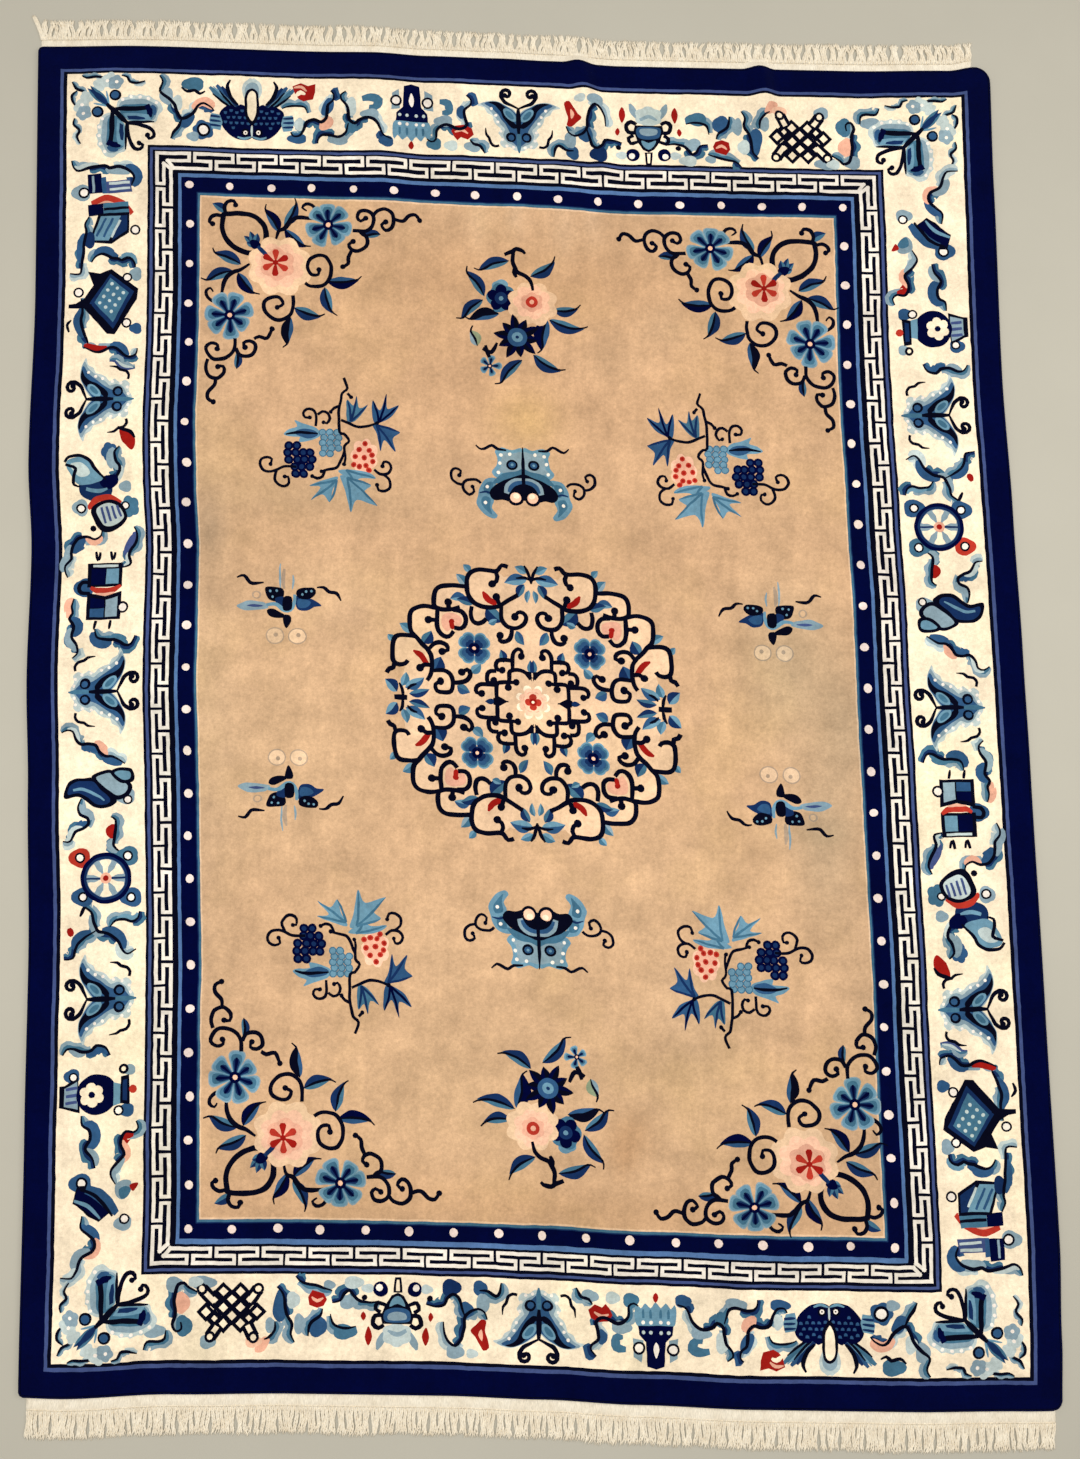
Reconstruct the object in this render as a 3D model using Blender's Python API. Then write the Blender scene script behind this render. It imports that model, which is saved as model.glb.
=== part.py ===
"""Hand-knotted wool carpet of the Peking kind, spread flat on a floor.

A pile slab with round shoulders and two low creases at its far end, and at each end a
flat-woven cotton heading strip that carries the warp fringe. Metres, +Z up, +X across the
carpet, +Y along it towards the far end. The origin is on the floor under its middle.

Places on the carpet are given as "across", the distance from its left edge, and "along",
the distance from its far end, both measured on the straight-edged carpet.
"""
import math
import random

import bmesh
import bpy

# Driving dimensions
PILE_WIDTH = 2.70
PILE_LENGTH = 3.66
PILE_THICKNESS = 0.012
EDGE_WALL = 0.008  # upright part of the pile's edge
SHOULDER = 0.008  # how far the round shoulder reaches in from the edge
SKEW = -0.0382  # sideways drift of the weave, in metres for each metre along it

HEADING_THICKNESS = 0.003
HEADING_GAP = 0.0003  # between the pile slab's end and the heading strip
HEADING_DEPTH = {"far": 0.030, "near": 0.028}

STRANDS = 149
STRAND_PITCH = (PILE_WIDTH - 2 * SHOULDER) / (STRANDS - 1)
STRAND_WIDTH = 0.009
STRAND_HEIGHT = 0.0042
STRAND_LENGTH = {"far": 0.050, "near": 0.072}
STRAND_SWAY = {"far": 0.0035, "near": 0.0025}
LENGTH_SPREAD = 0.12  # share of a strand's length that it may be longer or shorter
STRAND_SEED = 41
ON_FLOOR = 1e-6  # a strand's point below this height lies on the floor

# First strand of each strip, and how many it lacks at the right, where the corners are round
FIRST_STRAND = {"far": 0, "near": 1}
STRANDS_LEFT_OUT = {"far": 3, "near": 1}

# The far strip's first lock lies on its own, splayed outwards and longer than the rest
LONE_LOCK_LENGTH = 0.074
LONE_LOCK_SPLAY = -0.034

# How far each edge lies outside the straight one: (distance from the left edge, shift outwards)
FAR_EDGE = (
    (0.00, 0.000),
    (0.30, 0.008),
    (0.80, 0.002),
    (0.95, 0.004),
    (1.10, -0.004),
    (1.30, -0.007),
    (1.45, -0.012),
    (1.65, -0.023),
    (2.30, -0.023),
    (2.58, -0.016),
    (2.66, -0.003),
    (2.70, -0.003),
)
NEAR_EDGE = (
    (0.00, 0.004),
    (0.10, 0.006),
    (0.40, -0.010),
    (0.70, -0.016),
    (1.10, -0.016),
    (1.35, -0.010),
    (1.60, 0.000),
    (1.90, 0.008),
    (2.30, 0.008),
    (2.60, 0.002),
    (2.70, 0.000),
)

# The same for the sides: (distance from the far end, shift outwards)
LEFT_EDGE = (
    (0.00, 0.000),
    (0.72, -0.002),
    (1.20, 0.010),
    (1.45, -0.002),
    (1.80, 0.006),
    (2.10, -0.002),
    (2.52, -0.010),
    (3.00, -0.006),
    (3.66, 0.000),
)
RIGHT_EDGE = (
    (0.00, 0.000),
    (0.36, -0.006),
    (0.90, -0.012),
    (1.30, -0.003),
    (1.68, 0.003),
    (2.00, 0.006),
    (2.64, 0.010),
    (3.24, 0.014),
    (3.48, 0.006),
    (3.66, -0.002),
)

# Radius of each corner: (at the left side, at the far end, radius)
CORNERS = (
    (True, True, 0.014),
    (False, True, 0.045),
    (True, False, 0.014),
    (False, False, 0.028),
)

# Creases that run in from the far end: (across at the far end, across where it dies out,
# along where it dies out, height, half its width)
CREASES = (
    (1.530, 1.625, 0.44, 0.015, 0.050),
    (2.042, 2.075, 0.24, 0.017, 0.048),
)

# Spacing of the slab's faces, in strands across and in metres along
COARSE_STEP = 4
CORNER_STEPS = 3
CREASE_ROW = 0.045
PLAIN_ROW = 0.090
CREASED_LENGTH = 0.44
UNDERSIDE_END = 0.30  # length of the underside's many-sided face at each end

COLOURS = {
    "carpet": (0.53, 0.33, 0.20),
    "fringe_far": (0.78, 0.72, 0.58),
    "fringe_near": (0.78, 0.72, 0.58),
}
ROUGHNESS = 0.9


def remove_old_objects():
    for item in list(bpy.data.objects):
        bpy.data.objects.remove(item, do_unlink=True)


def cloth_material(name):
    material = bpy.data.materials.new(name)
    material.use_nodes = True
    shader = material.node_tree.nodes["Principled BSDF"]
    shader.inputs["Base Color"].default_value = (*COLOURS[name], 1.0)
    shader.inputs["Roughness"].default_value = ROUGHNESS
    shader.inputs["Metallic"].default_value = 0.0
    return material


def add_object(name, work):
    """Turn a finished bmesh into an object with its own material."""
    bmesh.ops.recalc_face_normals(work, faces=work.faces)
    mesh = bpy.data.meshes.new(name)
    work.to_mesh(mesh)
    work.free()
    mesh.materials.append(cloth_material(name))
    item = bpy.data.objects.new(name, mesh)
    bpy.context.scene.collection.objects.link(item)
    return item


def shift_at(edge, distance):
    """An edge table's shift at a distance, eased from one row to the next."""
    for (start, low), (end, high) in zip(edge, edge[1:]):
        if distance <= end:
            part = (distance - start) / (end - start)
            return low + (high - low) * part * part * (3 - 2 * part)
    return edge[-1][1]


def rounded(across, along):
    """Draw a place near a corner in, so that the corner's two edges meet in an arc."""
    for at_left, at_far, radius in CORNERS:
        from_side = across if at_left else PILE_WIDTH - across
        from_end = along if at_far else PILE_LENGTH - along
        if from_side < radius and from_end < radius:
            side = 1 - from_side / radius
            end = 1 - from_end / radius
            shrink = max(side, end) / math.hypot(side, end)
            from_side = radius * (1 - side * shrink)
            from_end = radius * (1 - end * shrink)
            across = from_side if at_left else PILE_WIDTH - from_side
            along = from_end if at_far else PILE_LENGTH - from_end
    return across, along


def plan(across, along):
    """World x and y of a place on the carpet, with its uneven edges and its skew."""
    across, along = rounded(across, along)
    right_share = across / PILE_WIDTH
    near_share = along / PILE_LENGTH
    x = across - PILE_WIDTH / 2
    x += right_share * shift_at(RIGHT_EDGE, along) - (1 - right_share) * shift_at(LEFT_EDGE, along)
    y = PILE_LENGTH / 2 - along
    y += (1 - near_share) * shift_at(FAR_EDGE, across) - near_share * shift_at(NEAR_EDGE, across)
    return x + SKEW * y, y


def crease_lift(across, along):
    """Height that the creases add to the pile at a place."""
    lift = 0.0
    for start, finish, length, height, half_width in CREASES:
        part = along / length
        if part >= 1:
            continue
        from_ridge = abs(across - start - (finish - start) * part) / half_width
        if from_ridge < 1:
            lift += height * (1 - part * part) * 0.5 * (1 + math.cos(math.pi * from_ridge))
    return lift


def column_strands():
    """Strand numbers that the slab's columns stand at, closer at the corners and creases."""
    last = STRANDS - 1
    chosen = set(range(0, STRANDS, COARSE_STEP))
    for step in range(CORNER_STEPS):
        chosen.update((step, last - step))
    for start, finish, _, _, half_width in CREASES:
        first = math.floor((start - half_width - SHOULDER) / STRAND_PITCH)
        final = math.ceil((finish + half_width - SHOULDER) / STRAND_PITCH)
        chosen.update(range(first, final + 1))
    return sorted(chosen)


def column_places():
    inner = [SHOULDER + strand * STRAND_PITCH for strand in column_strands()]
    return [0.0] + inner + [PILE_WIDTH]


def row_places():
    """Distances from the far end of the slab's rows, closer at the ends and over the creases."""
    ends = [0.0] + [SHOULDER + step * STRAND_PITCH for step in range(CORNER_STEPS)]
    rows = list(ends)
    while rows[-1] < CREASED_LENGTH:
        rows.append(rows[-1] + CREASE_ROW)
    plain_length = PILE_LENGTH - ends[-1] - rows[-1]
    plain_rows = round(plain_length / PLAIN_ROW)
    plain_start = rows[-1]
    rows += [plain_start + plain_length * step / plain_rows for step in range(1, plain_rows)]
    return rows + [PILE_LENGTH - place for place in reversed(ends)]


def make_carpet():
    """The pile slab: a grid of faces on top, an upright wall below its shoulder, a flat underside."""
    columns = column_places()
    rows = row_places()
    last_column = len(columns) - 1
    last_row = len(rows) - 1
    work = bmesh.new()
    bmesh.ops.create_grid(work, x_segments=last_column, y_segments=last_row, size=1.0)

    top = {}
    for point in work.verts:
        column = round((point.co.x + 1) / 2 * last_column)
        row = round((1 - point.co.y) / 2 * last_row)
        top[column, row] = point
    for (column, row), point in top.items():
        on_edge = column in (0, last_column) or row in (0, last_row)
        height = EDGE_WALL if on_edge else PILE_THICKNESS
        height += crease_lift(columns[column], rows[row])
        point.co = (*plan(columns[column], rows[row]), height)

    place_of = {point: place for place, point in top.items()}
    rim = [edge for edge in work.edges if edge.is_boundary]
    wall = bmesh.ops.extrude_edge_only(work, edges=rim)["geom"]
    foot = {}
    for point in [item for item in wall if isinstance(item, bmesh.types.BMVert)]:
        neighbours = [edge.other_vert(point) for edge in point.link_edges]
        above = next(other for other in neighbours if other in place_of)
        foot[place_of[above]] = point
        point.co.z = 0.0

    far_row = min(row for row, place in enumerate(rows) if place > UNDERSIDE_END)
    near_row = max(row for row, place in enumerate(rows) if PILE_LENGTH - place > UNDERSIDE_END)
    far_loop = [foot[0, row] for row in range(far_row, 0, -1)]
    far_loop += [foot[column, 0] for column in range(last_column + 1)]
    far_loop += [foot[last_column, row] for row in range(1, far_row + 1)]
    near_loop = [foot[last_column, row] for row in range(near_row, last_row)]
    near_loop += [foot[column, last_row] for column in range(last_column, -1, -1)]
    near_loop += [foot[0, row] for row in range(last_row - 1, near_row - 1, -1)]
    ends = [work.faces.new(far_loop), work.faces.new(near_loop)]
    bmesh.ops.poke(work, faces=ends)
    for row in range(far_row, near_row):
        corners = [foot[0, row], foot[last_column, row], foot[last_column, row + 1], foot[0, row + 1]]
        work.faces.new(corners)
    return add_object("carpet", work)


def slab_end(strand, end):
    """World x and y on the slab's end at a strand, on the straight runs between its columns."""
    along = 0.0 if end == "far" else PILE_LENGTH
    stops = column_strands()
    after = next(stop for stop in stops if stop >= strand)
    before = max(stop for stop in stops if stop <= strand)
    x0, y0 = plan(SHOULDER + before * STRAND_PITCH, along)
    if after == before:
        return x0, y0
    x1, y1 = plan(SHOULDER + after * STRAND_PITCH, along)
    part = (strand - before) / (after - before)
    return x0 + (x1 - x0) * part, y0 + (y1 - y0) * part


def make_fringe(name, end):
    """A heading strip with its strands, three-sided locks that lie on the floor."""
    outwards = 1 if end == "far" else -1
    dice = random.Random(STRAND_SEED + outwards)
    strands = range(FIRST_STRAND[end], STRANDS - STRANDS_LEFT_OUT[end])
    work = bmesh.new()
    inner_low, inner_high, root_left, root_right, root_top = [], [], [], [], []
    for strand in strands:
        x, y = slab_end(strand, end)
        inner = y + outwards * HEADING_GAP
        outer = y + outwards * HEADING_DEPTH[end]
        inner_low.append(work.verts.new((x, inner, 0.0)))
        inner_high.append(work.verts.new((x, inner, HEADING_THICKNESS)))
        root_left.append(work.verts.new((x - STRAND_WIDTH / 2, outer, 0.0)))
        root_right.append(work.verts.new((x + STRAND_WIDTH / 2, outer, 0.0)))
        root_top.append(work.verts.new((x, outer, HEADING_THICKNESS)))

    last = len(strands) - 1
    roots = []
    for at in range(last + 1):
        roots.append(work.faces.new((root_left[at], root_right[at], root_top[at])))
        work.faces.new((inner_low[at], root_right[at], root_left[at]))
    for at in range(last):
        work.faces.new((root_right[at], root_left[at + 1], root_top[at + 1], root_top[at]))
        work.faces.new((inner_high[at], root_top[at], root_top[at + 1], inner_high[at + 1]))
        work.faces.new((inner_low[at], inner_low[at + 1], root_left[at + 1], root_right[at]))
        work.faces.new((inner_low[at], inner_high[at], inner_high[at + 1], inner_low[at + 1]))
    work.faces.new((inner_low[0], root_left[0], root_top[0], inner_high[0]))
    work.faces.new((inner_low[last], inner_high[last], root_top[last], root_right[last]))

    for at, root in enumerate(roots):
        spread = 1 + dice.uniform(-LENGTH_SPREAD, LENGTH_SPREAD)
        length = STRAND_LENGTH[end] * spread
        bend = dice.uniform(-STRAND_SWAY[end], STRAND_SWAY[end])
        splay = dice.uniform(-STRAND_SWAY[end], STRAND_SWAY[end])
        if end == "far" and at == 0:
            length = LONE_LOCK_LENGTH
            bend = LONE_LOCK_SPLAY / 3
            splay = LONE_LOCK_SPLAY
        draw_strand(work, root, outwards, length, bend, splay)
    return add_object(name, work)


def draw_strand(work, root, outwards, length, bend, splay):
    """Draw a strand out of its root face in two lengths, its middle and its tip."""
    start_x = root.calc_center_median().x
    start_y = root.verts[0].co.y
    # (share of the length, sideways shift, half the width, height)
    sections = (
        (0.5, bend, STRAND_WIDTH / 2, STRAND_HEIGHT),
        (1.0, splay, STRAND_WIDTH / 3, STRAND_HEIGHT * 0.6),
    )
    face = root
    for share, sideways, half_width, height in sections:
        face = bmesh.ops.extrude_discrete_faces(work, faces=[face])["faces"][0]
        left, right, ridge = sorted(face.verts, key=lambda point: (point.co.z > ON_FLOOR, point.co.x))
        y = start_y + outwards * length * share
        left.co = (start_x + sideways - half_width, y, 0.0)
        right.co = (start_x + sideways + half_width, y, 0.0)
        ridge.co = (start_x + sideways, y, height)


def main():
    remove_old_objects()
    make_carpet()
    make_fringe("fringe_far", "far")
    make_fringe("fringe_near", "near")


main()
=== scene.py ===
"""Looks of the Peking carpet: its knotted pile with the whole design, its woven back and its cotton fringes.

Everything is drawn on the plan of the carpet in millimetres: across from its left edge, along from
its far end. The design is a list of flat shapes, each one wool and an outline, later ones on top.
The pile is one mesh cut along all their outlines, so each knot field has its own dye.
"""
import math
import random

import bmesh
import bpy
import numpy as np
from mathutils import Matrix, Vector, noise
from mathutils.geometry import delaunay_2d_cdt


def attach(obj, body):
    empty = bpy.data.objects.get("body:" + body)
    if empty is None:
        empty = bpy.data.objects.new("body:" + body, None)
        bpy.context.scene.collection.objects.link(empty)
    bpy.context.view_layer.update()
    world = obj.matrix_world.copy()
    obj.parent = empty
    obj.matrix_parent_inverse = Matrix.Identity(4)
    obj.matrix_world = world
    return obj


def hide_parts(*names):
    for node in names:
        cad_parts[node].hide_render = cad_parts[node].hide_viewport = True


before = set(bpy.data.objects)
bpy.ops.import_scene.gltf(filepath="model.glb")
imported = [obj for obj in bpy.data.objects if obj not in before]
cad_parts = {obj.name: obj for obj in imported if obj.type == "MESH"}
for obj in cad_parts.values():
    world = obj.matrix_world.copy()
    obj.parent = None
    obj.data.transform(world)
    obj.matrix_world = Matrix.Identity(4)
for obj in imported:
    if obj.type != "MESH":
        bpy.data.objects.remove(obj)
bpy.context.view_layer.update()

# The carpet's sizes and edges, as in the CAD part, in metres
PILE_WIDTH = 2.70
PILE_LENGTH = 3.66
PILE_THICKNESS = 0.012
EDGE_WALL = 0.008
SHOULDER = 0.008
SKEW = -0.0382
FAR_EDGE = (
    (0.00, 0.000),
    (0.30, 0.008),
    (0.80, 0.002),
    (0.95, 0.004),
    (1.10, -0.004),
    (1.30, -0.007),
    (1.45, -0.012),
    (1.65, -0.023),
    (2.30, -0.023),
    (2.58, -0.016),
    (2.66, -0.003),
    (2.70, -0.003),
)
NEAR_EDGE = (
    (0.00, 0.004),
    (0.10, 0.006),
    (0.40, -0.010),
    (0.70, -0.016),
    (1.10, -0.016),
    (1.35, -0.010),
    (1.60, 0.000),
    (1.90, 0.008),
    (2.30, 0.008),
    (2.60, 0.002),
    (2.70, 0.000),
)
LEFT_EDGE = (
    (0.00, 0.000),
    (0.72, -0.002),
    (1.20, 0.010),
    (1.45, -0.002),
    (1.80, 0.006),
    (2.10, -0.002),
    (2.52, -0.010),
    (3.00, -0.006),
    (3.66, 0.000),
)
RIGHT_EDGE = (
    (0.00, 0.000),
    (0.36, -0.006),
    (0.90, -0.012),
    (1.30, -0.003),
    (1.68, 0.003),
    (2.00, 0.006),
    (2.64, 0.010),
    (3.24, 0.014),
    (3.48, 0.006),
    (3.66, -0.002),
)
CORNERS = (
    (True, True, 0.014),
    (False, True, 0.045),
    (True, False, 0.014),
    (False, False, 0.028),
)
CREASES = (
    (1.530, 1.625, 0.44, 0.015, 0.050),
    (2.042, 2.075, 0.24, 0.017, 0.048),
)

# The photograph's camera, whose lens and place follow from the carpet's corners
LENS = 27.14
CAMERA_PLACE = (0.018, -0.316, 2.973)
CAMERA_TURN = (4.449, -0.390, 0.985)

# Dyes, as sRGB values from 0 to 255
WOOLS = {
    "ink": (5, 6, 24),
    "navy": (0, 4, 48),
    "deep": (20, 44, 86),
    "blue": (46, 82, 120),
    "teal": (66, 108, 132),
    "sky": (106, 146, 166),
    "grey": (136, 158, 168),
    "mist": (190, 202, 198),
    "slate": (66, 80, 126),
    "line": (84, 116, 162),
    "pink": (232, 172, 144),
    "rose": (248, 196, 164),
    "red": (156, 26, 20),
    "brick": (184, 54, 40),
    "fret": (238, 228, 214),
    "cream": (254, 234, 202),
    "field": (216, 175, 135),
    "white": (248, 236, 222),
    "green": (140, 152, 122),
    "pearl": (244, 222, 210),
    "blush": (234, 196, 158),
    "faded": (176, 150, 126),
}

# Where the pile is stained, faded or worn, and where painted light lifts its near half, on its plan in mm:
# (across, along, half its width, half its length, how much red, green and blue are left)
STAINS_AND_PAINTED_LIGHT = (
    (1370, 1050, 90, 80, (1.03, 1.05, 0.86)),
    (1620, 870, 150, 90, (1.05, 1.07, 1.08)),
    (1180, 905, 130, 55, (1.06, 1.06, 1.06)),
    (800, 1560, 190, 110, (1.04, 1.06, 1.08)),
    (1760, 760, 70, 60, (1.05, 1.08, 1.10)),
    (1240, 500, 34, 90, (1.06, 1.10, 1.14)),
    (1345, 470, 26, 60, (1.08, 1.13, 1.20)),
    (1480, 510, 30, 100, (1.07, 1.11, 1.17)),
    (1560, 480, 24, 70, (1.06, 1.10, 1.16)),
    (1330, 640, 500, 120, (0.93, 0.90, 0.86)),
    (1360, 1430, 1000, 110, (0.94, 0.93, 0.92)),
    (520, 1480, 160, 160, (0.93, 0.93, 0.92)),
    (2210, 1880, 70, 190, (0.80, 0.86, 0.90)),
    (2130, 2160, 120, 40, (0.88, 0.91, 0.92)),
    (490, 1390, 36, 80, (0.82, 0.86, 0.90)),
    (470, 1700, 90, 900, (0.94, 0.97, 1.00)),
    (2240, 2700, 80, 500, (0.90, 0.92, 0.94)),
    (1585, 2980, 55, 60, (0.88, 0.82, 0.76)),
    (1560, 3040, 30, 40, (0.90, 0.85, 0.80)),
    (1470, 2900, 80, 60, (1.05, 1.06, 1.06)),
    (640, 2000, 300, 330, (1.03, 1.06, 1.06)),
    (1700, 2330, 420, 200, (1.03, 1.04, 1.04)),
    (1360, 3180, 900, 70, (0.93, 0.90, 0.86)),
    (1100, 2900, 240, 160, (1.03, 1.04, 1.03)),
    (1360, 900, 700, 300, (0.96, 0.93, 0.91)),
    (2060, 1720, 130, 220, (0.83, 0.91, 0.94)),
    (2130, 2180, 90, 240, (0.86, 0.93, 0.98)),
    (760, 1290, 260, 60, (0.90, 0.93, 0.93)),
    (1760, 2650, 120, 160, (0.91, 0.93, 0.96)),
    (1080, 2480, 80, 120, (1.07, 1.08, 1.09)),
    # painted light: a broad soft lift that brightens the whole near half
    (1360, 2700, 800, 420, (1.01, 1.03, 1.03)),
    (1830, 2900, 200, 200, (1.02, 1.03, 1.02)),
)

# The design's bands, in mm from the pile's edge: (wool, at the sides, at the far end, at the near end)
BANDS = (
    ("navy", 0, 0, 0),
    ("slate", 67, 69, 68),
    ("ink", 76, 77, 78),
    ("cream", 86, 84, 87),
    ("ink", 313, 295, 302),
    ("slate", 320, 302, 309),
    ("ink", 328, 309, 316),
    ("line", 399, 376, 376),
    ("navy", 408, 387, 389),
    ("deep", 450, 430, 429),
    ("teal", 453, 433, 432),
    ("blush", 459, 440, 439),
    ("field", 463, 445, 444),
)
WIDTH = PILE_WIDTH * 1000
LENGTH = PILE_LENGTH * 1000

# The fret's three rails, in mm from the edge: (at the sides, at the far end, at the near end)
RAILS = ((340, 318, 329), (359, 339, 347), (379, 361, 365))
FRET_WIDTH = 9.4
FRET_UNITS = {"end": 15, "side": 23}

PEARL = 12
PEARL_INSET = (431, 410, 414)
PEARLS = {"end": 17, "side": 26}

SPACING = 7.0  # mm between an outline's points
WEIGHT = 1.4  # how much heavier strokes are than drawn


def smooth(points, closed=False):
    """Points along an even curve through the given ones."""
    count = len(points)
    path = []
    for at in range(count if closed else count - 1):
        if closed:
            a, b, c, d = (points[(at + k - 1) % count] for k in range(4))
        else:
            a, b, c, d = (points[min(max(at + k - 1, 0), count - 1)] for k in range(4))
        steps = max(1, round(math.dist(b, c) / SPACING))
        for step in range(steps):
            t = step / steps
            path.append(tuple(
                0.5 * (2 * b[k] + (c[k] - a[k]) * t + (2 * a[k] - 5 * b[k] + 4 * c[k] - d[k]) * t * t
                       + (3 * b[k] - a[k] - 3 * c[k] + d[k]) * t ** 3)
                for k in range(2)))
    if not closed:
        path.append(tuple(points[-1]))
    return path


def blob(wool, *points):
    return [(wool, smooth(points, closed=True))]


def patch(wool, *points):
    return [(wool, list(points))]


def disc(wool, x, y, wide, tall=None, turn=0):
    tall = tall or wide
    steps = max(8, round(2 * math.pi * max(wide, tall) / SPACING))
    c, s = math.cos(math.radians(turn)), math.sin(math.radians(turn))
    ring = []
    for k in range(steps):
        a = 2 * math.pi * k / steps
        u, v = wide * math.cos(a), tall * math.sin(a)
        ring.append((x + u * c - v * s, y + u * s + v * c))
    return [(wool, ring)]


def puff(wool, x, y, wide, tall=None, lobes=5, turn=None):
    """A little cloud, a disc with a lobed rim."""
    tall = tall or wide
    lobes = lobes - 1 if lobes == 4 else lobes
    turn = (x * 7 + y * 13) % 90 if turn is None else turn
    steps = lobes * 6
    c, s = math.cos(math.radians(turn)), math.sin(math.radians(turn))
    ring = []
    for k in range(steps):
        a = 2 * math.pi * k / steps + math.radians(turn)
        swell = 0.86 + 0.2 * abs(math.sin(a * lobes / 2))
        ring.append((x + wide * swell * math.cos(a), y + tall * swell * math.sin(a)))
    return [(wool, ring)]


def line(wool, width, *points, start=0.45, end=0.45, taper=0.3):
    """A drawn stroke that thins towards its ends."""
    width *= WEIGHT
    path = smooth(points)
    lengths = [0.0]
    for p, q in zip(path, path[1:]):
        lengths.append(lengths[-1] + math.dist(p, q))
    total = lengths[-1]
    left, right = [], []
    for k, p in enumerate(path):
        q, r = path[max(k - 1, 0)], path[min(k + 1, len(path) - 1)]
        dx, dy = r[0] - q[0], r[1] - q[1]
        size = math.hypot(dx, dy) or 1
        u = lengths[k] / total
        half = width / 2 * min(1, start + (1 - start) * u / taper, end + (1 - end) * (1 - u) / taper)
        left.append((p[0] - dy / size * half, p[1] + dx / size * half))
        right.append((p[0] + dy / size * half, p[1] - dx / size * half))
    return [(wool, left + right[::-1])]


def curl(x, y, radius, begin, turns, inner=0.3):
    """Points of a spiral that winds in round x, y, from an angle in degrees with y down."""
    steps = max(4, round(abs(turns) * 10))
    points = []
    for k in range(steps + 1):
        u = k / steps
        a = math.radians(begin + 360 * turns * u)
        r = radius * (1 + (inner - 1) * u)
        points.append((x + r * math.cos(a), y + r * math.sin(a)))
    return points


def tendril(wool, width, *points, at, radius, begin, turns, inner=0.35, bud=1.0):
    """A stroke that ends in a spiral with a bud at its heart."""
    spiral = curl(*at, radius, begin, turns, inner)
    shapes = line(wool, width, *points, *spiral, end=0.9)
    x, y = spiral[-1]
    return shapes + disc(wool, x, y, width * bud)


def leaf(base, tip, width, bend=0.15, tones=("sky", "deep"), hooked=0):
    """A pointed leaf, its upper half darker than the whole, drawn from its base to its tip."""
    (x0, y0), (x1, y1) = base, tip
    dx, dy = x1 - x0, y1 - y0
    size = math.hypot(dx, dy)
    nx, ny = -dy / size, dx / size
    steps = max(5, round(size / SPACING))
    whole, spine, dark = [], [], []
    for k in range(steps + 1):
        u = k / steps
        off = 4 * bend * size * u * (1 - u)
        cx, cy = x0 + dx * u + nx * off, y0 + dy * u + ny * off
        half = width / 2 * math.sin(math.pi * u ** 0.85) ** 0.9
        spine.append((cx - nx * half * 0.15, cy - ny * half * 0.15))
        whole.append((cx - nx * half, cy - ny * half))
        dark.append((cx + nx * half, cy + ny * half))
    shapes = [(tones[0], whole + dark[-2:0:-1])]
    shapes.append((tones[1], spine + dark[-2:0:-1]))
    if hooked:
        shapes += line("ink", 5, spine[0], spine[steps // 2], (x1 - 0.1 * dx, y1 - 0.1 * dy),
                       (x1 + 8 * dx / size + 12 * hooked * nx, y1 + 8 * dy / size + 12 * hooked * ny), start=0.3, end=0.5)
    return shapes


def moved(shapes, x=0.0, y=0.0, turn=0.0, flip=False, size=1.0):
    c, s = math.cos(math.radians(turn)) * size, math.sin(math.radians(turn)) * size
    side = -1 if flip else 1
    return [(wool, [(x + side * u * c - v * s, y + side * u * s + v * c) for u, v in outline])
            for wool, outline in shapes]


def both(shapes, axis=0.0):
    """The shapes and their mirror images about the line x = axis."""
    out = []
    for wool, outline in shapes:
        out.append((wool, outline))
        out.append((wool, [(2 * axis - x, y) for x, y in outline]))
    return out


def butterfly():
    """Head up, centred on its body, about 240 mm wide."""
    half = line("ink", 8, (0, -46), (22, -56), (40, -66), at_ := (50, -84), start=0.8)[:0]
    half += tendril("ink", 8, (0, -46), (20, -55), (38, -64), (49, -80),
                    at=(34, -88), radius=16, begin=20, turns=-0.95)
    half += blob("mist", (6, -34), (30, -52), (60, -66), (88, -66), (118, -52), (98, -46), (88, -30),
                 (74, -24), (70, -8), (62, 6), (50, 16), (58, 30), (48, 44), (54, 58), (44, 72),
                 (26, 70), (10, 80), (0, 70), (0, 0))
    half += blob("grey", (6, -32), (30, -50), (60, -65), (86, -65), (108, -56), (90, -46), (76, -32),
                 (64, -16), (50, 4), (38, 18), (44, 34), (36, 52), (22, 62), (0, 66), (0, 0))
    half += blob("blue", (6, -30), (28, -48), (58, -64), (84, -64), (96, -58), (76, -46), (62, -32),
                 (48, -12), (34, 8), (26, 26), (30, 44), (16, 58), (0, 62), (0, -20))
    half += blob("ink", (4, 4), (16, -8), (26, -34), (42, -54), (64, -65), (86, -63), (66, -54), (52, -38),
                 (44, -18), (30, 2), (14, 14), (0, 10))
    half += disc("sky", 24, -26, 24, 12, -48)
    half += disc("teal", 25, -26, 16, 7, -48)
    half += disc("ink", 22, 40, 15)
    half += disc("blue", 21, 41, 9)
    half += line("ink", 6, (56, 66), (68, 68), (80, 60), (84, 44), (92, 34), (94, 14), start=0.9, end=0.3)
    for x, y in ((76, -44), (64, -24), (58, -4), (50, 24), (46, 48), (34, 66), (16, 70)):
        half += disc("white", x, y, 4.5)
    shapes = both(half)
    shapes += line("ink", 10, (0, -48), (0, -20), (0, 12), (0, 30), start=0.5, end=0.5)
    shapes += line("teal", 9, (0, 30), (0, 60), (0, 86), start=0.8, end=0.3)
    return shapes


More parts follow.
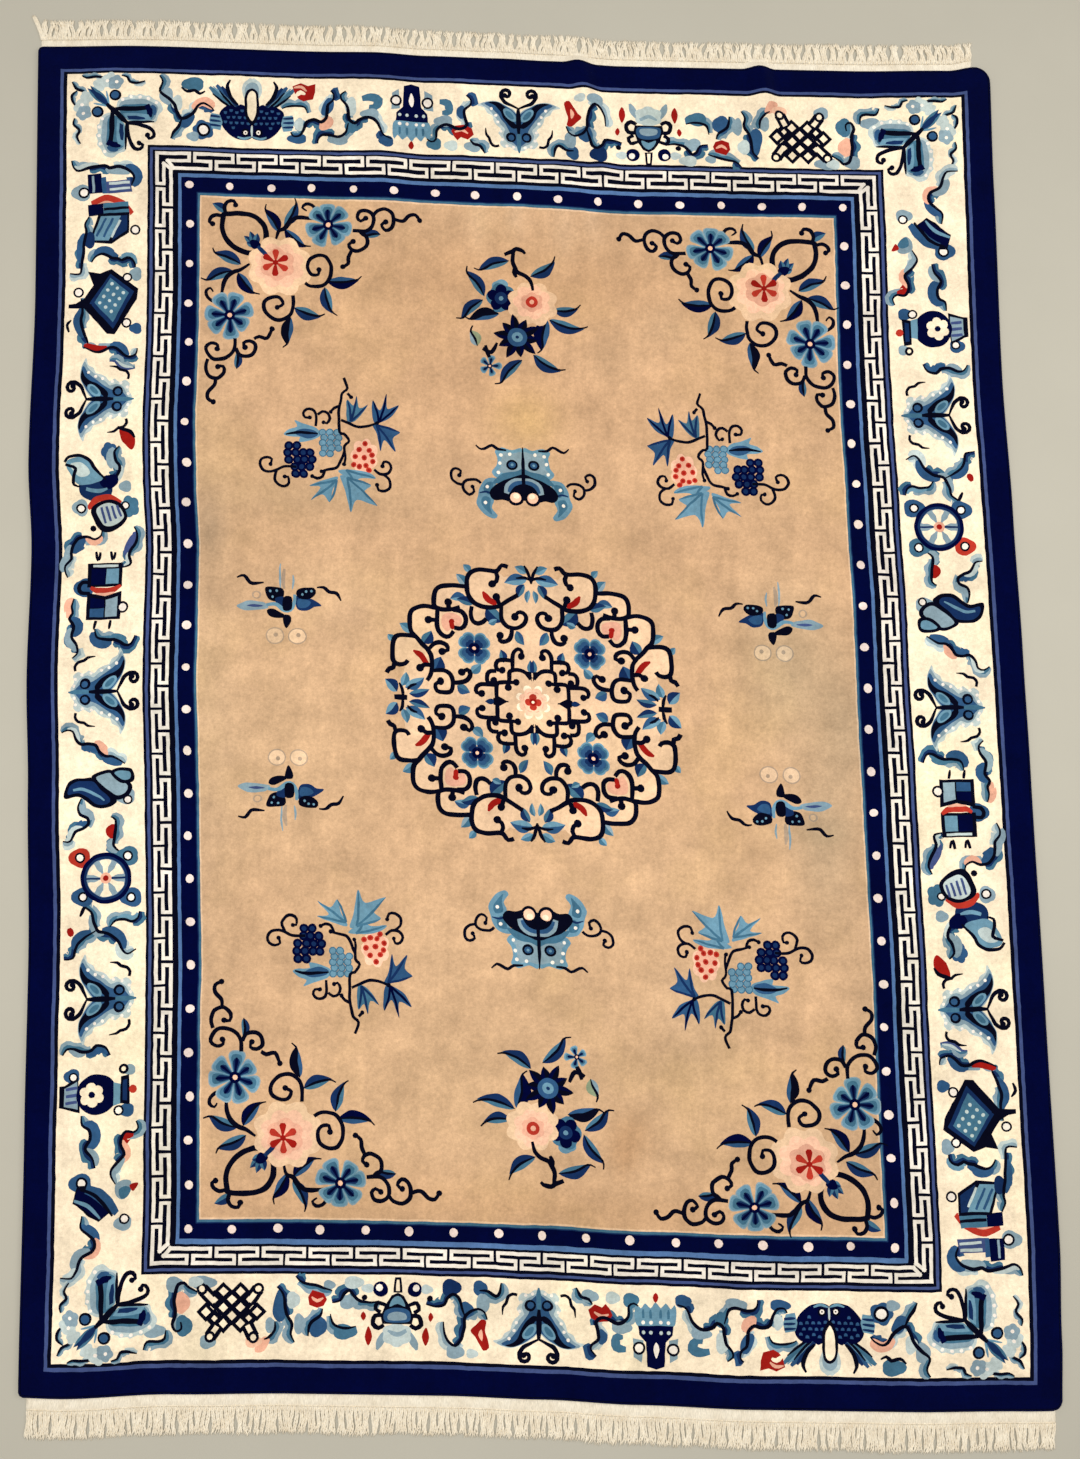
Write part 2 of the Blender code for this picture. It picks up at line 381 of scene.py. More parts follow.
def corner_butterfly():
    """Head up, larger winged; its axis lies on the corner's diagonal."""
    half = puff("mist", 48, 52, 22, 18, 5) + puff("grey", 56, 36, 20, 18, 5) + puff("mist", 22, 60, 15, 17, 5)
    half += blob("mist", (4, -40), (10, -12), (33, -2), (50, -12), (56, -10), (70, -26), (76, -26), (84, -42), (92, -48),
                 (94, -64), (99, -80), (90, -99), (70, -102), (52, -109), (30, -88), (10, -66))
    half += blob("grey", (6, -38), (14, -16), (32, -10), (48, -20), (62, -32), (76, -46), (84, -64), (86, -84), (72, -95),
                 (52, -102), (30, -84), (10, -62))
    half += blob("teal", (6, -36), (12, -18), (28, -20), (44, -34), (62, -50), (74, -64), (74, -84), (60, -96), (50, -98),
                 (30, -80), (10, -60))
    half += line("ink", 9, (4, -12), (20, -26), (42, -48), (66, -68), start=0.7, end=0.9)
    half += line("navy", 11, (70, -60), (64, -76), (52, -90), start=0.9, end=0.7)
    half += patch("sky", (10, -34), (24, -46), (44, -68), (54, -82), (50, -98), (28, -80), (6, -56))
    half += patch("deep", (13, -46), (30, -62), (42, -80), (40, -86), (26, -74), (10, -56))
    half += line("blue", 8, (76, -70), (76, -82), (64, -94), start=0.7) + line("ink", 5, (3, -58), (26, -82), (52, -107))
    half += line("white", 4, (8, -70), (24, -90), (42, -110))
    half += line("ink", 7, (2, -62), (16, -80), (29, -103), (33, -122), (24, -132), (12, -129), (14, -119), start=0.9, end=0.9)
    half += disc("ink", 15, -119, 7) + disc("ink", 31, 13, 15) + disc("blue", 31, 14, 10)
    half += line("sky", 4, (2, 6), (12, 20), (23, 36), start=0.8) + leaf((0, 6), (5, 76), 20, 0.0, ("teal", "deep"))
    for x, y in ((36, -8), (56, -18), (72, -34), (85, -52), (91, -74), (58, 36), (44, 54)):
        half += disc("white", x, y, 4.5)
    return both(half) + line("ink", 10, (0, -64), (0, -30), (0, 2), (0, 12), start=0.5, end=0.6)


def eye(x, y, radius, rim="ink", core="white"):
    return disc(rim, x, y, radius) + disc(core, x, y, radius * 0.66)


def side_band(wool, path, begin, finish, width):
    """Colour that lies along a part of a path, on its left where the width is above zero."""
    count = len(path) - 1
    part = path[round(begin * count):round(finish * count) + 1]
    edge = []
    last = len(part) - 1
    for k, p in enumerate(part):
        q, r = part[max(k - 1, 0)], part[min(k + 1, last)]
        dx, dy = r[0] - q[0], r[1] - q[1]
        size = math.hypot(dx, dy) or 1
        off = width * math.sin(math.pi * (0.06 + 0.88 * k / last)) ** 0.5
        edge.append((p[0] + dy / size * off, p[1] - dx / size * off))
    return [(wool, part + edge[::-1])]


UNDER = "under "  # a wool with this before its name lies under all the others
DARKER = {"mist": "grey", "grey": "teal", "sky": "blue", "teal": "deep", "blue": "deep", "deep": "navy", "rose": "pink", "pink": "pink"}


def clouds(path, size, tones):
    """Bands of cloud along a path, now on one side of it and now on the other, each darker next to it."""
    shapes = []
    span = max(6, round(size * 3.4 / SPACING))
    for at, k in enumerate(range(0, len(path) - 4, span)):
        part = path[k:k + span + 3]
        last = len(part) - 1
        for share, tone in ((1.0, tones[at % len(tones)]), (0.5, DARKER[tones[at % len(tones)]])):
            edge = []
            for n, (x, y) in enumerate(part):
                (x0, y0), (x1, y1) = part[max(0, n - 1)], part[min(last, n + 1)]
                reach = math.hypot(x1 - x0, y1 - y0) or 1
                t = n / last
                off = size * share * (0.75 + 0.5 * abs(math.sin(7 * t + at))) * math.sin(math.pi * (0.05 + 0.9 * t)) ** 0.3
                off *= 1 if at % 2 else -1
                edge.append((x - (y1 - y0) / reach * off, y + (x1 - x0) / reach * off))
            shapes.append((UNDER + tone, part + edge[::-1]))
    return shapes


def ribbon(width, *points, fills=(), wool="ink", start=0.4, end=0.4, size=20,
           tones=("grey", "teal", "mist", "blue", "grey", "teal")):
    """A stroke with clouds and bands of colour beside it: (wool, from, to, width), the ends as shares of it."""
    path = smooth(points)
    shapes = clouds(path, size, tones)
    for band in fills:
        tone, begin, finish, wide = band
        shapes += side_band(tone, path, begin, finish, wide)
    return shapes + line(wool, 0.78 * width, *points, start=start, end=end)


def settled(shapes):
    """The shapes with those that lie under the others first."""
    low = [(wool[len(UNDER):], outline) for wool, outline in shapes if wool.startswith(UNDER)]
    return low + [shape for shape in shapes if not shape[0].startswith(UNDER)]


def double_fish():
    """Two fish that hang side by side, heads down, as left half and mirror image, about x = 606."""
    half = blob("mist", (578, 128), (580, 106), (592, 94), (606, 90), (606, 150), (588, 152))
    half += blob("grey", (586, 134), (588, 112), (598, 102), (606, 100), (606, 150), (592, 152))
    half += line("teal", 13, (566, 186), (530, 158), (486, 118)) + line("blue", 12, (570, 184), (540, 150), (505, 112))
    half += line("deep", 10, (574, 182), (548, 152), (520, 116)) + line("sky", 5, (566, 184), (534, 152), (496, 116))
    half += line("ink", 5, (568, 186), (536, 156), (513, 128)) + line("ink", 5, (562, 188), (522, 160), (496, 138))
    half += blob("navy", (516, 196), (528, 178), (548, 170), (562, 176), (574, 166), (590, 176), (600, 200), (606, 240),
                 (606, 264), (588, 272), (562, 268), (540, 254), (522, 230))
    for x, y in ((532, 192), (548, 186), (564, 192), (579, 186), (540, 206), (556, 206), (572, 206), (588, 206),
                 (532, 220), (548, 222), (564, 222), (580, 222), (596, 224), (554, 236)):
        half += patch("blue", (x - 5, y - 3), (x + 5, y - 3), (x + 4, y + 3), (x, y + 5), (x - 4, y + 3))
    half += patch("sky", (492, 196), (518, 200), (524, 222), (518, 246), (494, 242), (486, 218))
    for y in (204, 217, 230):
        half += line("deep", 5, (489, y), (519, y + 3), start=0.9)
    half += disc("ink", 588, 250, 12) + disc("white", 588, 250, 6.5) + disc("ink", 588, 250, 2.5)
    half += line("ink", 8, (566, 168), (548, 150), (538, 128), (536, 112), (544, 96), start=0.6)
    half += line("sky", 5, (566, 262), (584, 268), (604, 262), start=0.6) + line("mist", 4, (606, 232), (606, 262), start=0.8)
    shapes = both(half, 606)
    shapes += blob("ink", (606, 118), (620, 126), (626, 146), (626, 190), (620, 212), (606, 230), (592, 212), (586, 190),
                   (586, 146), (592, 126))
    return shapes + blob("cream", (606, 126), (616, 134), (619, 150), (618, 190), (613, 206), (606, 216), (599, 206),
                         (594, 190), (593, 150), (596, 134))


def left_of_fish():
    shapes = blob("blue", (404, 238), (412, 210), (430, 198), (446, 206), (440, 226), (424, 244))
    shapes += puff("teal", 440, 112, 32, 22, 3) + line("ink", 7, (408, 122), (424, 134), (446, 130), (460, 140), (474, 132))
    shapes += blob("pink", (436, 178), (452, 156), (480, 150), (502, 166), (494, 186), (466, 176), (446, 190))
    shapes += puff("grey", 366, 150, 20, 26, 4) + puff("mist", 396, 170, 16, 24, 4)
    shapes += ribbon(9, (345, 89), (355, 107), (348, 135), (369, 154), (387, 173), (397, 200), (410, 217),
                     (440, 200), (455, 175), (470, 168), (490, 178), (500, 190))
    shapes += ribbon(8, (410, 217), (400, 240), (386, 258), (378, 276))
    shapes += puff("blue", 470, 247, 30, 28, 5) + eye(470, 247, 20) + puff("grey", 440, 268, 18, 14, 3)
    return shapes


def fish_to_canopy():
    shapes = puff("blue", 733, 264, 28, 15, 4) + puff("mist", 738, 222, 13, 20, 3) + blob(
        "pink", (794, 232), (800, 206), (818, 194), (834, 206), (828, 226), (808, 238))
    shapes += blob("blue", (800, 190), (806, 160), (820, 140), (836, 146), (834, 172), (818, 192))
    shapes += ribbon(9, (715, 245), (722, 256), (740, 255), (750, 240), (760, 215), (780, 207), (800, 212),
                     (814, 200), (817, 180), (820, 160), (834, 147), (836, 130), (827, 120))
    shapes += ribbon(6, (692, 177), (705, 170), (735, 167), (755, 172), (762, 188))
    shapes += patch("red", (722, 108), (744, 98), (764, 106), (786, 100), (784, 124), (778, 146), (752, 154), (738, 146), (728, 134)) + line("cream", 9, (728, 138), (744, 126), (756, 132)) + line("pink", 6, (726, 112), (746, 110), (760, 122))
    shapes += puff("mist", 884, 165, 17, 28, 4) + puff("teal", 884, 224, 18, 20, 4) + puff("grey", 848, 265, 30, 15, 4)
    shapes += line("teal", 18, (916, 142), (940, 138), (962, 146), (952, 166), (934, 166), start=0.6)
    shapes += puff("grey", 938, 186, 28, 15, 4) + puff("blue", 985, 266, 22, 17, 4)
    shapes += ribbon(9, (870, 120), (857, 130), (857, 145), (872, 162), (877, 185), (880, 205), (895, 215),
                     (905, 205), (925, 197), (945, 200), (960, 215), (972, 240), (980, 250), (1000, 257))
    shapes += ribbon(8, (877, 215), (867, 245), (850, 255), (820, 250), (800, 252), (792, 265), (792, 277))
    return shapes


def canopy():
    shapes = patch("grey", (1000, 120), (1020, 108), (1022, 165), (998, 170)) + patch("grey", (1092, 108), (1114, 122), (1116, 170), (1088, 165))
    shapes += blob("sky", (1002, 240), (1006, 205), (1030, 196), (1082, 196), (1106, 205), (1110, 240), (1104, 256),
                   (1094, 244), (1082, 258), (1068, 246), (1056, 260), (1042, 246), (1030, 258), (1016, 244), (1008, 256))
    shapes += patch("navy", (1010, 202), (1012, 178), (1030, 160), (1034, 98), (1055, 90), (1078, 98), (1082, 160),
                    (1099, 178), (1102, 202))
    shapes += blob("white", (1055, 118), (1062, 142), (1055, 160), (1047, 142))
    for x in (1022, 1042, 1068, 1088):
        shapes += disc("mist", x, 184, 5) + disc("white", x, 210, 5)
        shapes += line("teal", 5, (x, 220), (x, 242), start=0.9)
    shapes += eye(1011, 142, 17) + eye(1100, 145, 17)
    shapes += blob("red", (1055, 258), (1063, 272), (1055, 284), (1047, 272))
    return shapes


def canopy_to_butterfly():
    shapes = puff("teal", 1120, 264, 22, 18, 4) + puff("grey", 1146, 196, 28, 17, 4)
    shapes += line("teal", 17, (1134, 140), (1158, 144), (1160, 168), (1142, 172), start=0.6)
    shapes += patch("red", (1168, 224), (1180, 208), (1204, 204), (1226, 214), (1232, 234), (1214, 248), (1196, 242), (1186, 252), (1176, 240)) + line("pink", 6, (1178, 226), (1198, 220), (1216, 230))
    shapes += puff("blue", 1196, 168, 13, 20, 3) + puff("grey", 1228, 268, 24, 17, 4) + puff("mist", 1168, 268, 20, 16, 4)
    shapes += ribbon(9, (1100, 250), (1112, 257), (1125, 250), (1127, 225), (1140, 210), (1155, 205), (1170, 210),
                     (1185, 216), (1200, 215), (1212, 203), (1207, 180), (1206, 160), (1222, 146), (1224, 132), (1210, 117))
    shapes += ribbon(8, (1220, 247), (1230, 260), (1250, 265), (1262, 287))
    return shapes


def butterfly_to_pot():
    shapes = puff("blue", 1546, 218, 20, 22, 4) + puff("deep", 1584, 274, 26, 22, 4) + puff("grey", 1576, 112, 24, 18, 4)
    shapes += puff("blue", 1510, 274, 19, 20, 4) + puff("grey", 1504, 234, 17, 26, 4) + puff("mist", 1532, 110, 16, 12, 3)
    shapes += blob("red", (1487, 125), (1502, 118), (1514, 136), (1524, 152), (1536, 167), (1522, 182), (1507, 196),
                   (1494, 192), (1498, 170), (1490, 146)) + blob("pink", (1506, 142), (1516, 158), (1508, 172), (1504, 158))
    shapes += ribbon(8, (1492, 196), (1500, 215), (1515, 222), (1535, 215), (1550, 200), (1552, 175), (1560, 145),
                     (1575, 127), (1590, 135), (1602, 155), (1605, 187))
    shapes += ribbon(8, (1550, 200), (1557, 225), (1565, 250), (1580, 257), (1595, 245), (1602, 230), (1625, 225), (1650, 231))
    shapes += ribbon(8, (1456, 290), (1460, 265), (1470, 255), (1490, 267), (1512, 267))
    return shapes


def pot():
    half = line("grey", 14, (1700, 158), (1684, 140), (1672, 114), start=0.9, end=0.3)
    half += line("ink", 9, (1690, 200), (1668, 198), (1662, 178), (1676, 168), (1690, 176), start=0.8, end=0.8)
    half += line("ink", 8, (1694, 226), (1674, 232), (1668, 216), (1682, 208), start=0.8, end=0.8)
    half += blob("red", (1650, 124), (1660, 146), (1650, 172), (1641, 146)) + blob("red", (1638, 186), (1644, 198), (1637, 210), (1630, 198))
    half += disc("navy", 1680, 266, 19) + disc("white", 1677, 270, 9) + disc("ink", 1640, 245, 8)
    half += puff("mist", 1648, 268, 16, 12, 3)
    shapes = both(half, 1724)
    shapes += puff("mist", 1724, 152, 38, 30, 6) + line("grey", 8, (1700, 162), (1724, 152), (1748, 162), start=0.8)
    shapes += patch("ink", (1686, 178), (1762, 178), (1766, 196), (1756, 224), (1740, 250), (1724, 258), (1708, 250), (1692, 224), (1682, 196))
    shapes += blob("blue", (1692, 186), (1724, 182), (1756, 186), (1754, 212), (1724, 220), (1694, 212))
    shapes += blob("grey", (1700, 190), (1724, 187), (1748, 190), (1746, 204), (1724, 210), (1702, 204))
    shapes += blob("sky", (1704, 222), (1724, 230), (1744, 222), (1738, 240), (1724, 250), (1710, 240))
    shapes += patch("ink", (1712, 258), (1736, 258), (1732, 296), (1716, 296)) + patch("cream", (1719, 262), (1729, 262), (1727, 290), (1721, 290))
    return shapes


def pot_to_knot():
    shapes = puff("teal", 1860, 158, 32, 20, 3) + ribbon(7, (1830, 172), (1850, 167), (1870, 168), (1890, 178), (1896, 202))
    shapes += puff("grey", 1850, 232, 24, 18, 4) + puff("mist", 1836, 282, 26, 16, 4) + puff("blue", 1930, 172, 24, 28, 4)
    shapes += ribbon(8, (1770, 237), (1795, 232), (1822, 237), (1837, 250), (1847, 262), (1860, 255), (1870, 237), (1892, 231))
    shapes += patch("red", (1906, 238), (1914, 222), (1932, 216), (1952, 224), (1956, 244), (1944, 262), (1928, 258), (1914, 254)) + line("pink", 6, (1916, 242), (1932, 234), (1946, 244)) + puff("grey", 1900, 274, 16, 13, 3)
    shapes += ribbon(8, (1954, 146), (1949, 177), (1923, 198), (1917, 215))
    shapes += ribbon(7, (1892, 260), (1928, 272), (1970, 281), (1988, 297))
    shapes += blob("blue", (2012, 196), (2028, 180), (2046, 200), (2042, 236), (2030, 262), (2016, 240))
    shapes += blob("pink", (2052, 136), (2066, 108), (2090, 106), (2086, 130), (2064, 144))
    shapes += puff("grey", 1976, 176, 15, 26, 4) + puff("mist", 1994, 236, 18, 22, 4) + puff("grey", 2052, 172, 14, 20, 3)
    shapes += ribbon(8, (1988, 130), (1998, 150), (1995, 175), (2008, 195), (2015, 220), (2020, 250), (2036, 269))
    shapes += ribbon(7, (2040, 182), (2040, 160), (2055, 142), (2068, 137))
    return shapes


def diamond(wool, x, y, half):
    return patch(wool, (x - half, y), (x, y - half), (x + half, y), (x, y + half))


def knot():
    """An endless knot, a lattice of diamonds with four loops at its corners."""
    places = [(2130, 177), (2174, 177), (2087, 206), (2219, 206), (2130, 217), (2174, 217),
              (2152, 197), (2152, 238), (2130, 258), (2174, 258), (2108, 237), (2197, 237), (2108, 190), (2197, 190)]
    loops = [((2108, 232), (2084, 264)), ((2197, 232), (2229, 264)), ((2112, 172), (2096, 142)), ((2190, 170), (2208, 144))]
    shapes = puff("grey", 2226, 280, 34, 18, 4) + puff("grey", 2214, 132, 22, 18, 4) + puff("rose", 2096, 132, 22, 16, 4)
    for base, tip in loops:
        shapes += line("ink", 24, base, tip, start=1, end=1)
    for x, y in places:
        shapes += diamond("ink", x, y, 25)
    for base, tip in loops:
        shapes += line("cream", 9, base, tip, start=1, end=1) + disc("ink", *tip, 15) + disc("cream", *tip, 8)
    for x, y in places[:10]:
        shapes += diamond("cream", x, y, 12)
    for x, y in places[10:]:
        shapes += diamond("cream", x, y, 8)
    return shapes


def knot_to_corner():
    shapes = puff("teal", 2276, 172, 22, 28, 4) + puff("pink", 2280, 230, 20, 28, 4) + puff("grey", 2300, 276, 24, 20, 4)
    shapes += puff("mist", 2246, 282, 20, 14, 4) + puff("grey", 2352, 160, 30, 18, 4)
    shapes += ribbon(9, (2240, 255), (2262, 268), (2275, 280), (2290, 275), (2297, 255), (2300, 230), (2298, 198),
                     (2306, 176), (2296, 158), (2282, 164), (2284, 182))
    shapes += ribbon(7, (2322, 162), (2325, 140), (2340, 133), (2370, 133), (2379, 114))
    return shapes


def books():
    shapes = ribbon(9, (100, 341), (105, 359), (121, 371), (149, 362), (191, 355), (205, 362), (233, 359), (261, 371),
                    (275, 392), (264, 420), fills=(("mist", 0.1, 0.4, 16), ("grey", 0.5, 0.8, -24), ("blue", 0.72, 0.98, 26)))
    shapes += puff("grey", 128, 434, 28, 24, 4) + patch("navy", (145, 382), (183, 378), (186, 436), (147, 438))
    shapes += patch("blue", (183, 390), (196, 388), (198, 438), (186, 438)) + patch("slate", (196, 402), (264, 398), (270, 434), (198, 438))
    shapes += line("mist", 6, (204, 408), (262, 406), start=0.9, end=0.9) + line("mist", 5, (206, 426), (264, 422), start=0.9, end=0.9)
    shapes += line("grey", 5, (160, 386), (162, 434), start=0.9, end=0.9) + eye(135, 434, 16)
    shapes += line("brick", 20, (156, 466), (200, 455), (240, 472), (270, 498)) + line("pink", 9, (160, 476), (200, 466), (238, 482), (262, 500))
    shapes += patch("navy", (146, 470), (188, 466), (190, 500), (148, 504)) + patch("teal", (188, 466), (258, 462), (262, 500), (190, 504))
    shapes += line("ink", 6, (190, 484), (260, 480), start=0.9, end=0.9)
    shapes += patch("ink", (176, 496), (262, 494), (262, 552), (212, 584), (150, 578)) + patch("sky", (182, 504), (238, 504), (204, 574), (158, 572))
    shapes += patch("deep", (238, 504), (256, 502), (256, 546), (214, 574)) + line("mist", 5, (236, 516), (212, 566), start=0.9, end=0.9)
    shapes += line("blue", 5, (196, 510), (170, 562), start=0.9, end=0.9) + line("blue", 5, (216, 510), (190, 564), start=0.9, end=0.9)
    shapes += eye(279, 544, 15) + puff("deep", 150, 572, 17, 24, 4)
    shapes += ribbon(8, (149, 504), (138, 527), (142, 546), (136, 580), (135, 602), (131, 630), (126, 667), (98, 668),
                     fills=(("blue", 0.3, 0.7, -20),))
    return shapes


def chess_box():
    shapes = ribbon(8, (158, 637), (167, 620), (185, 612), (202, 617), (215, 625), (232, 627), (242, 632), (257, 625),
                    (272, 630), (280, 645), (280, 662), fills=(("blue", 0.15, 0.55, 24), ("sky", 0.55, 0.9, 16)))
    shapes += patch("ink", (148, 662), (182, 668), (214, 656), (290, 714), (286, 744), (226, 844), (204, 842),
                    (140, 768), (112, 756), (140, 738), (164, 702))
    shapes += patch("deep", (212, 670), (278, 722), (222, 828), (154, 754)) + patch("teal", (212, 682), (264, 725), (220, 810), (168, 752))
    for row in range(4):
        for at in range(3):
            u, v = 0.2 + 0.3 * at, 0.14 + 0.24 * row
            shapes += disc("mist", 212 + 54 * u - 46 * v, 680 + 44 * u + 74 * v, 5)
    shapes += puff("grey", 282, 672, 18, 20, 4) + eye(259, 682, 14) + puff("blue", 284, 828, 18, 16, 4) + eye(258, 812, 14)
    shapes += line("ink", 11, (96, 761), (160, 761), start=0.8) + eye(123, 722, 15)
    shapes += ribbon(8, (130, 738), (136, 775), (132, 805), (142, 840), (152, 862), (155, 882), fills=(("blue", 0.2, 0.75, -22),))
    shapes += ribbon(8, (140, 878), (175, 892), (195, 890), (215, 880), (232, 882), (252, 900), (267, 907), (287, 900),
                     (290, 883), fills=(("red", 0.02, 0.4, 20), ("blue", 0.45, 0.8, 22)))
    shapes += ribbon(7, (215, 920), (230, 920), (242, 932), (260, 942), (287, 940), wool="slate", fills=(("mist", 0.2, 0.9, 12),))
    shapes += line("ink", 6, (100, 835), (94, 815), (106, 800), start=0.6)
    return shapes


def fan_and_gourd():
    shapes = blob("red", (252, 1112), (284, 1124), (294, 1150), (284, 1172), (268, 1158), (256, 1144))
    shapes += line("ink", 8, (244, 1108), (262, 1114), (282, 1122), (292, 1138), start=0.6)
    shapes += puff("blue", 222, 1176, 22, 26, 5)
    shapes += ribbon(8, (250, 1160), (237, 1175), (240, 1200), (250, 1215), (247, 1235), (230, 1255), (208, 1258),
                     fills=(("grey", 0.1, 0.6, -26), ("mist", 0.5, 0.9, 14)))
    shapes += blob("deep", (150, 1246), (196, 1238), (226, 1262), (222, 1300), (186, 1314), (148, 1300), (138, 1272))
    shapes += blob("navy", (196, 1246), (240, 1240), (244, 1262), (222, 1280), (200, 1270))
    shapes += blob("sky", (104, 1204), (126, 1190), (158, 1190), (180, 1216), (204, 1248), (176, 1262), (142, 1266), (120, 1244))
    shapes += blob("mist", (116, 1208), (140, 1202), (162, 1216), (168, 1236), (146, 1244), (128, 1232))
    shapes += line("ink", 7, (100, 1202), (112, 1188), (142, 1184), (168, 1197), (182, 1220), (212, 1252), start=0.7)
    shapes += line("ink", 7, (102, 1208), (116, 1212), (130, 1220), (124, 1245), (126, 1265), (142, 1271), start=0.7)
    shapes += line("sky", 8, (158, 1278), (188, 1284), (214, 1278), start=0.8) + puff("grey", 264, 1272, 18, 16, 4)
    return shapes


def drum():
    shapes = line("brick", 18, (160, 1332), (190, 1310), (222, 1306), (250, 1318)) + line("pink", 8, (172, 1332), (196, 1318), (224, 1314))
    shapes += puff("grey", 140, 1330, 22, 24, 4) + eye(142, 1332, 14)
    shapes += puff("teal", 274, 1328, 26, 30, 5) + eye(262, 1325, 12)
    shapes += blob("ink", (170, 1330), (212, 1308), (250, 1320), (266, 1358), (236, 1390), (198, 1398), (176, 1368))
    shapes += blob("mist", (184, 1334), (212, 1318), (242, 1328), (256, 1356), (232, 1378), (206, 1382), (190, 1362))
    for k in range(4):
        shapes += line("slate", 5, (196 + 14 * k, 1330 - 2 * k), (206 + 14 * k, 1374 - 6 * k), start=0.9, end=0.9)
    shapes += disc("ink", 172, 1387, 9)
    shapes += ribbon(8, (195, 1392), (192, 1407), (175, 1417), (155, 1410), (130, 1415), (115, 1435), (110, 1455),
                     (110, 1470), (95, 1490), (95, 1505), (102, 1522),
                     fills=(("pink", 0.05, 0.3, 18), ("blue", 0.3, 0.62, 30), ("grey", 0.55, 0.9, -22)))
    shapes += ribbon(8, (282, 1385), (290, 1405), (285, 1430), (272, 1450), (267, 1465), (272, 1480), (270, 1492),
                     (248, 1498), fills=(("slate", 0.1, 0.7, -22), ("mist", 0.6, 0.95, -14)))
    return shapes


def blocks():
    shapes = []
    for x in (182, 222):
        shapes += line("ink", 6, (x - 4, 1452), (x, 1478), start=0.8) + line("ink", 6, (x + 2, 1642), (x - 3, 1666), start=0.8)
        shapes += line("ink", 5, (x + 8, 1454), (x + 4, 1476), start=0.8)
    shapes += puff("blue", 148, 1550, 28, 26, 4)
    shapes += patch("ink", (156, 1484), (250, 1484), (250, 1550), (156, 1550)) + patch("navy", (166, 1500), (204, 1500), (204, 1544), (166, 1544))
    shapes += patch("sky", (206, 1500), (240, 1500), (240, 1542), (206, 1542)) + line("mist", 5, (170, 1492), (238, 1492), start=0.9, end=0.9)
    shapes += line("brick", 13, (165, 1550), (185, 1560), (225, 1560), (247, 1547)) + line("pink", 6, (180, 1568), (205, 1571), (230, 1567))
    shapes += line("ink", 8, (166, 1538), (142, 1536), (134, 1550), (142, 1563), (164, 1566), start=0.8, end=0.8)
    shapes += patch("ink", (156, 1564), (206, 1576), (250, 1564), (250, 1640), (156, 1640)) + patch("navy", (166, 1578), (204, 1586), (204, 1606), (166, 1606))
    shapes += patch("blue", (166, 1608), (204, 1608), (204, 1632), (166, 1632)) + patch("grey", (208, 1586), (240, 1578), (240, 1632), (208, 1632))
    shapes += eye(255, 1607, 16)
    shapes += ribbon(8, (182, 1664), (184, 1680), (192, 1690), (215, 1695), (235, 1695), (250, 1700), (265, 1710),
                     (282, 1707), (291, 1685), fills=(("blue", 0.05, 0.45, -26), ("teal", 0.4, 0.8, 20)))
    shapes += ribbon(8, (122, 1578), (117, 1600), (120, 1620), (112, 1635), (125, 1655), (120, 1685), (135, 1710),
                     (137, 1730), (123, 1744),
                     fills=(("pink", 0.0, 0.3, -22), ("blue", 0.3, 0.6, 26), ("grey", 0.5, 0.85, -22)))
    return shapes


def leaf_scroll():
    shapes = ribbon(8, (95, 1945), (110, 1937), (125, 1942), (132, 1962), (147, 1977), (165, 1975), (185, 1980), (195, 1997),
                    (210, 2010), (230, 2012), (245, 2020), (262, 2032),
                    fills=(("mist", 0.05, 0.3, 14), ("blue", 0.35, 0.62, -24), ("pink", 0.5, 0.78, 24), ("blue", 0.7, 0.98, -24)))
    shapes += puff("grey", 262, 2118, 28, 22, 4) + eye(269, 2127, 13)
    shapes += blob("ink", (100, 2122), (106, 2086), (126, 2070), (152, 2068), (180, 2070), (202, 2092), (232, 2118), (240, 2134),
                   (216, 2148), (184, 2148), (158, 2130), (136, 2118))
    shapes += blob("deep", (110, 2112), (114, 2090), (130, 2078), (154, 2076), (178, 2080), (196, 2100), (222, 2124),
                   (214, 2138), (186, 2138), (162, 2120), (138, 2108))
    shapes += blob("ink", (172, 2066), (200, 2050), (226, 2048), (256, 2066), (280, 2090), (272, 2114), (244, 2128), (214, 2114), (190, 2090))
    shapes += blob("grey", (184, 2068), (204, 2058), (226, 2058), (250, 2076), (268, 2092), (262, 2108), (242, 2116), (220, 2104), (198, 2086))
    shapes += blob("ink", (222, 2052), (246, 2042), (280, 2046), (284, 2078), (256, 2084), (232, 2070))
    shapes += blob("sky", (232, 2056), (250, 2050), (274, 2054), (274, 2072), (254, 2074))
    shapes += line("sky", 6, (124, 2100), (150, 2098), (180, 2112), (208, 2128), start=0.8)
    shapes += ribbon(8, (145, 2122), (137, 2145), (142, 2165), (162, 2175), (165, 2190), (150, 2202), (130, 2210), (115, 2235),
                     (95, 2236), fills=(("grey", 0.1, 0.4, 20), ("blue", 0.4, 0.7, -22), ("mist", 0.6, 0.95, -16)))
    shapes += ribbon(8, (225, 2172), (237, 2180), (237, 2205), (232, 2230), (232, 2250), (248, 2267),
                     fills=(("red", 0.25, 0.6, -26), ("grey", 0.6, 0.95, -20)))
    return shapes


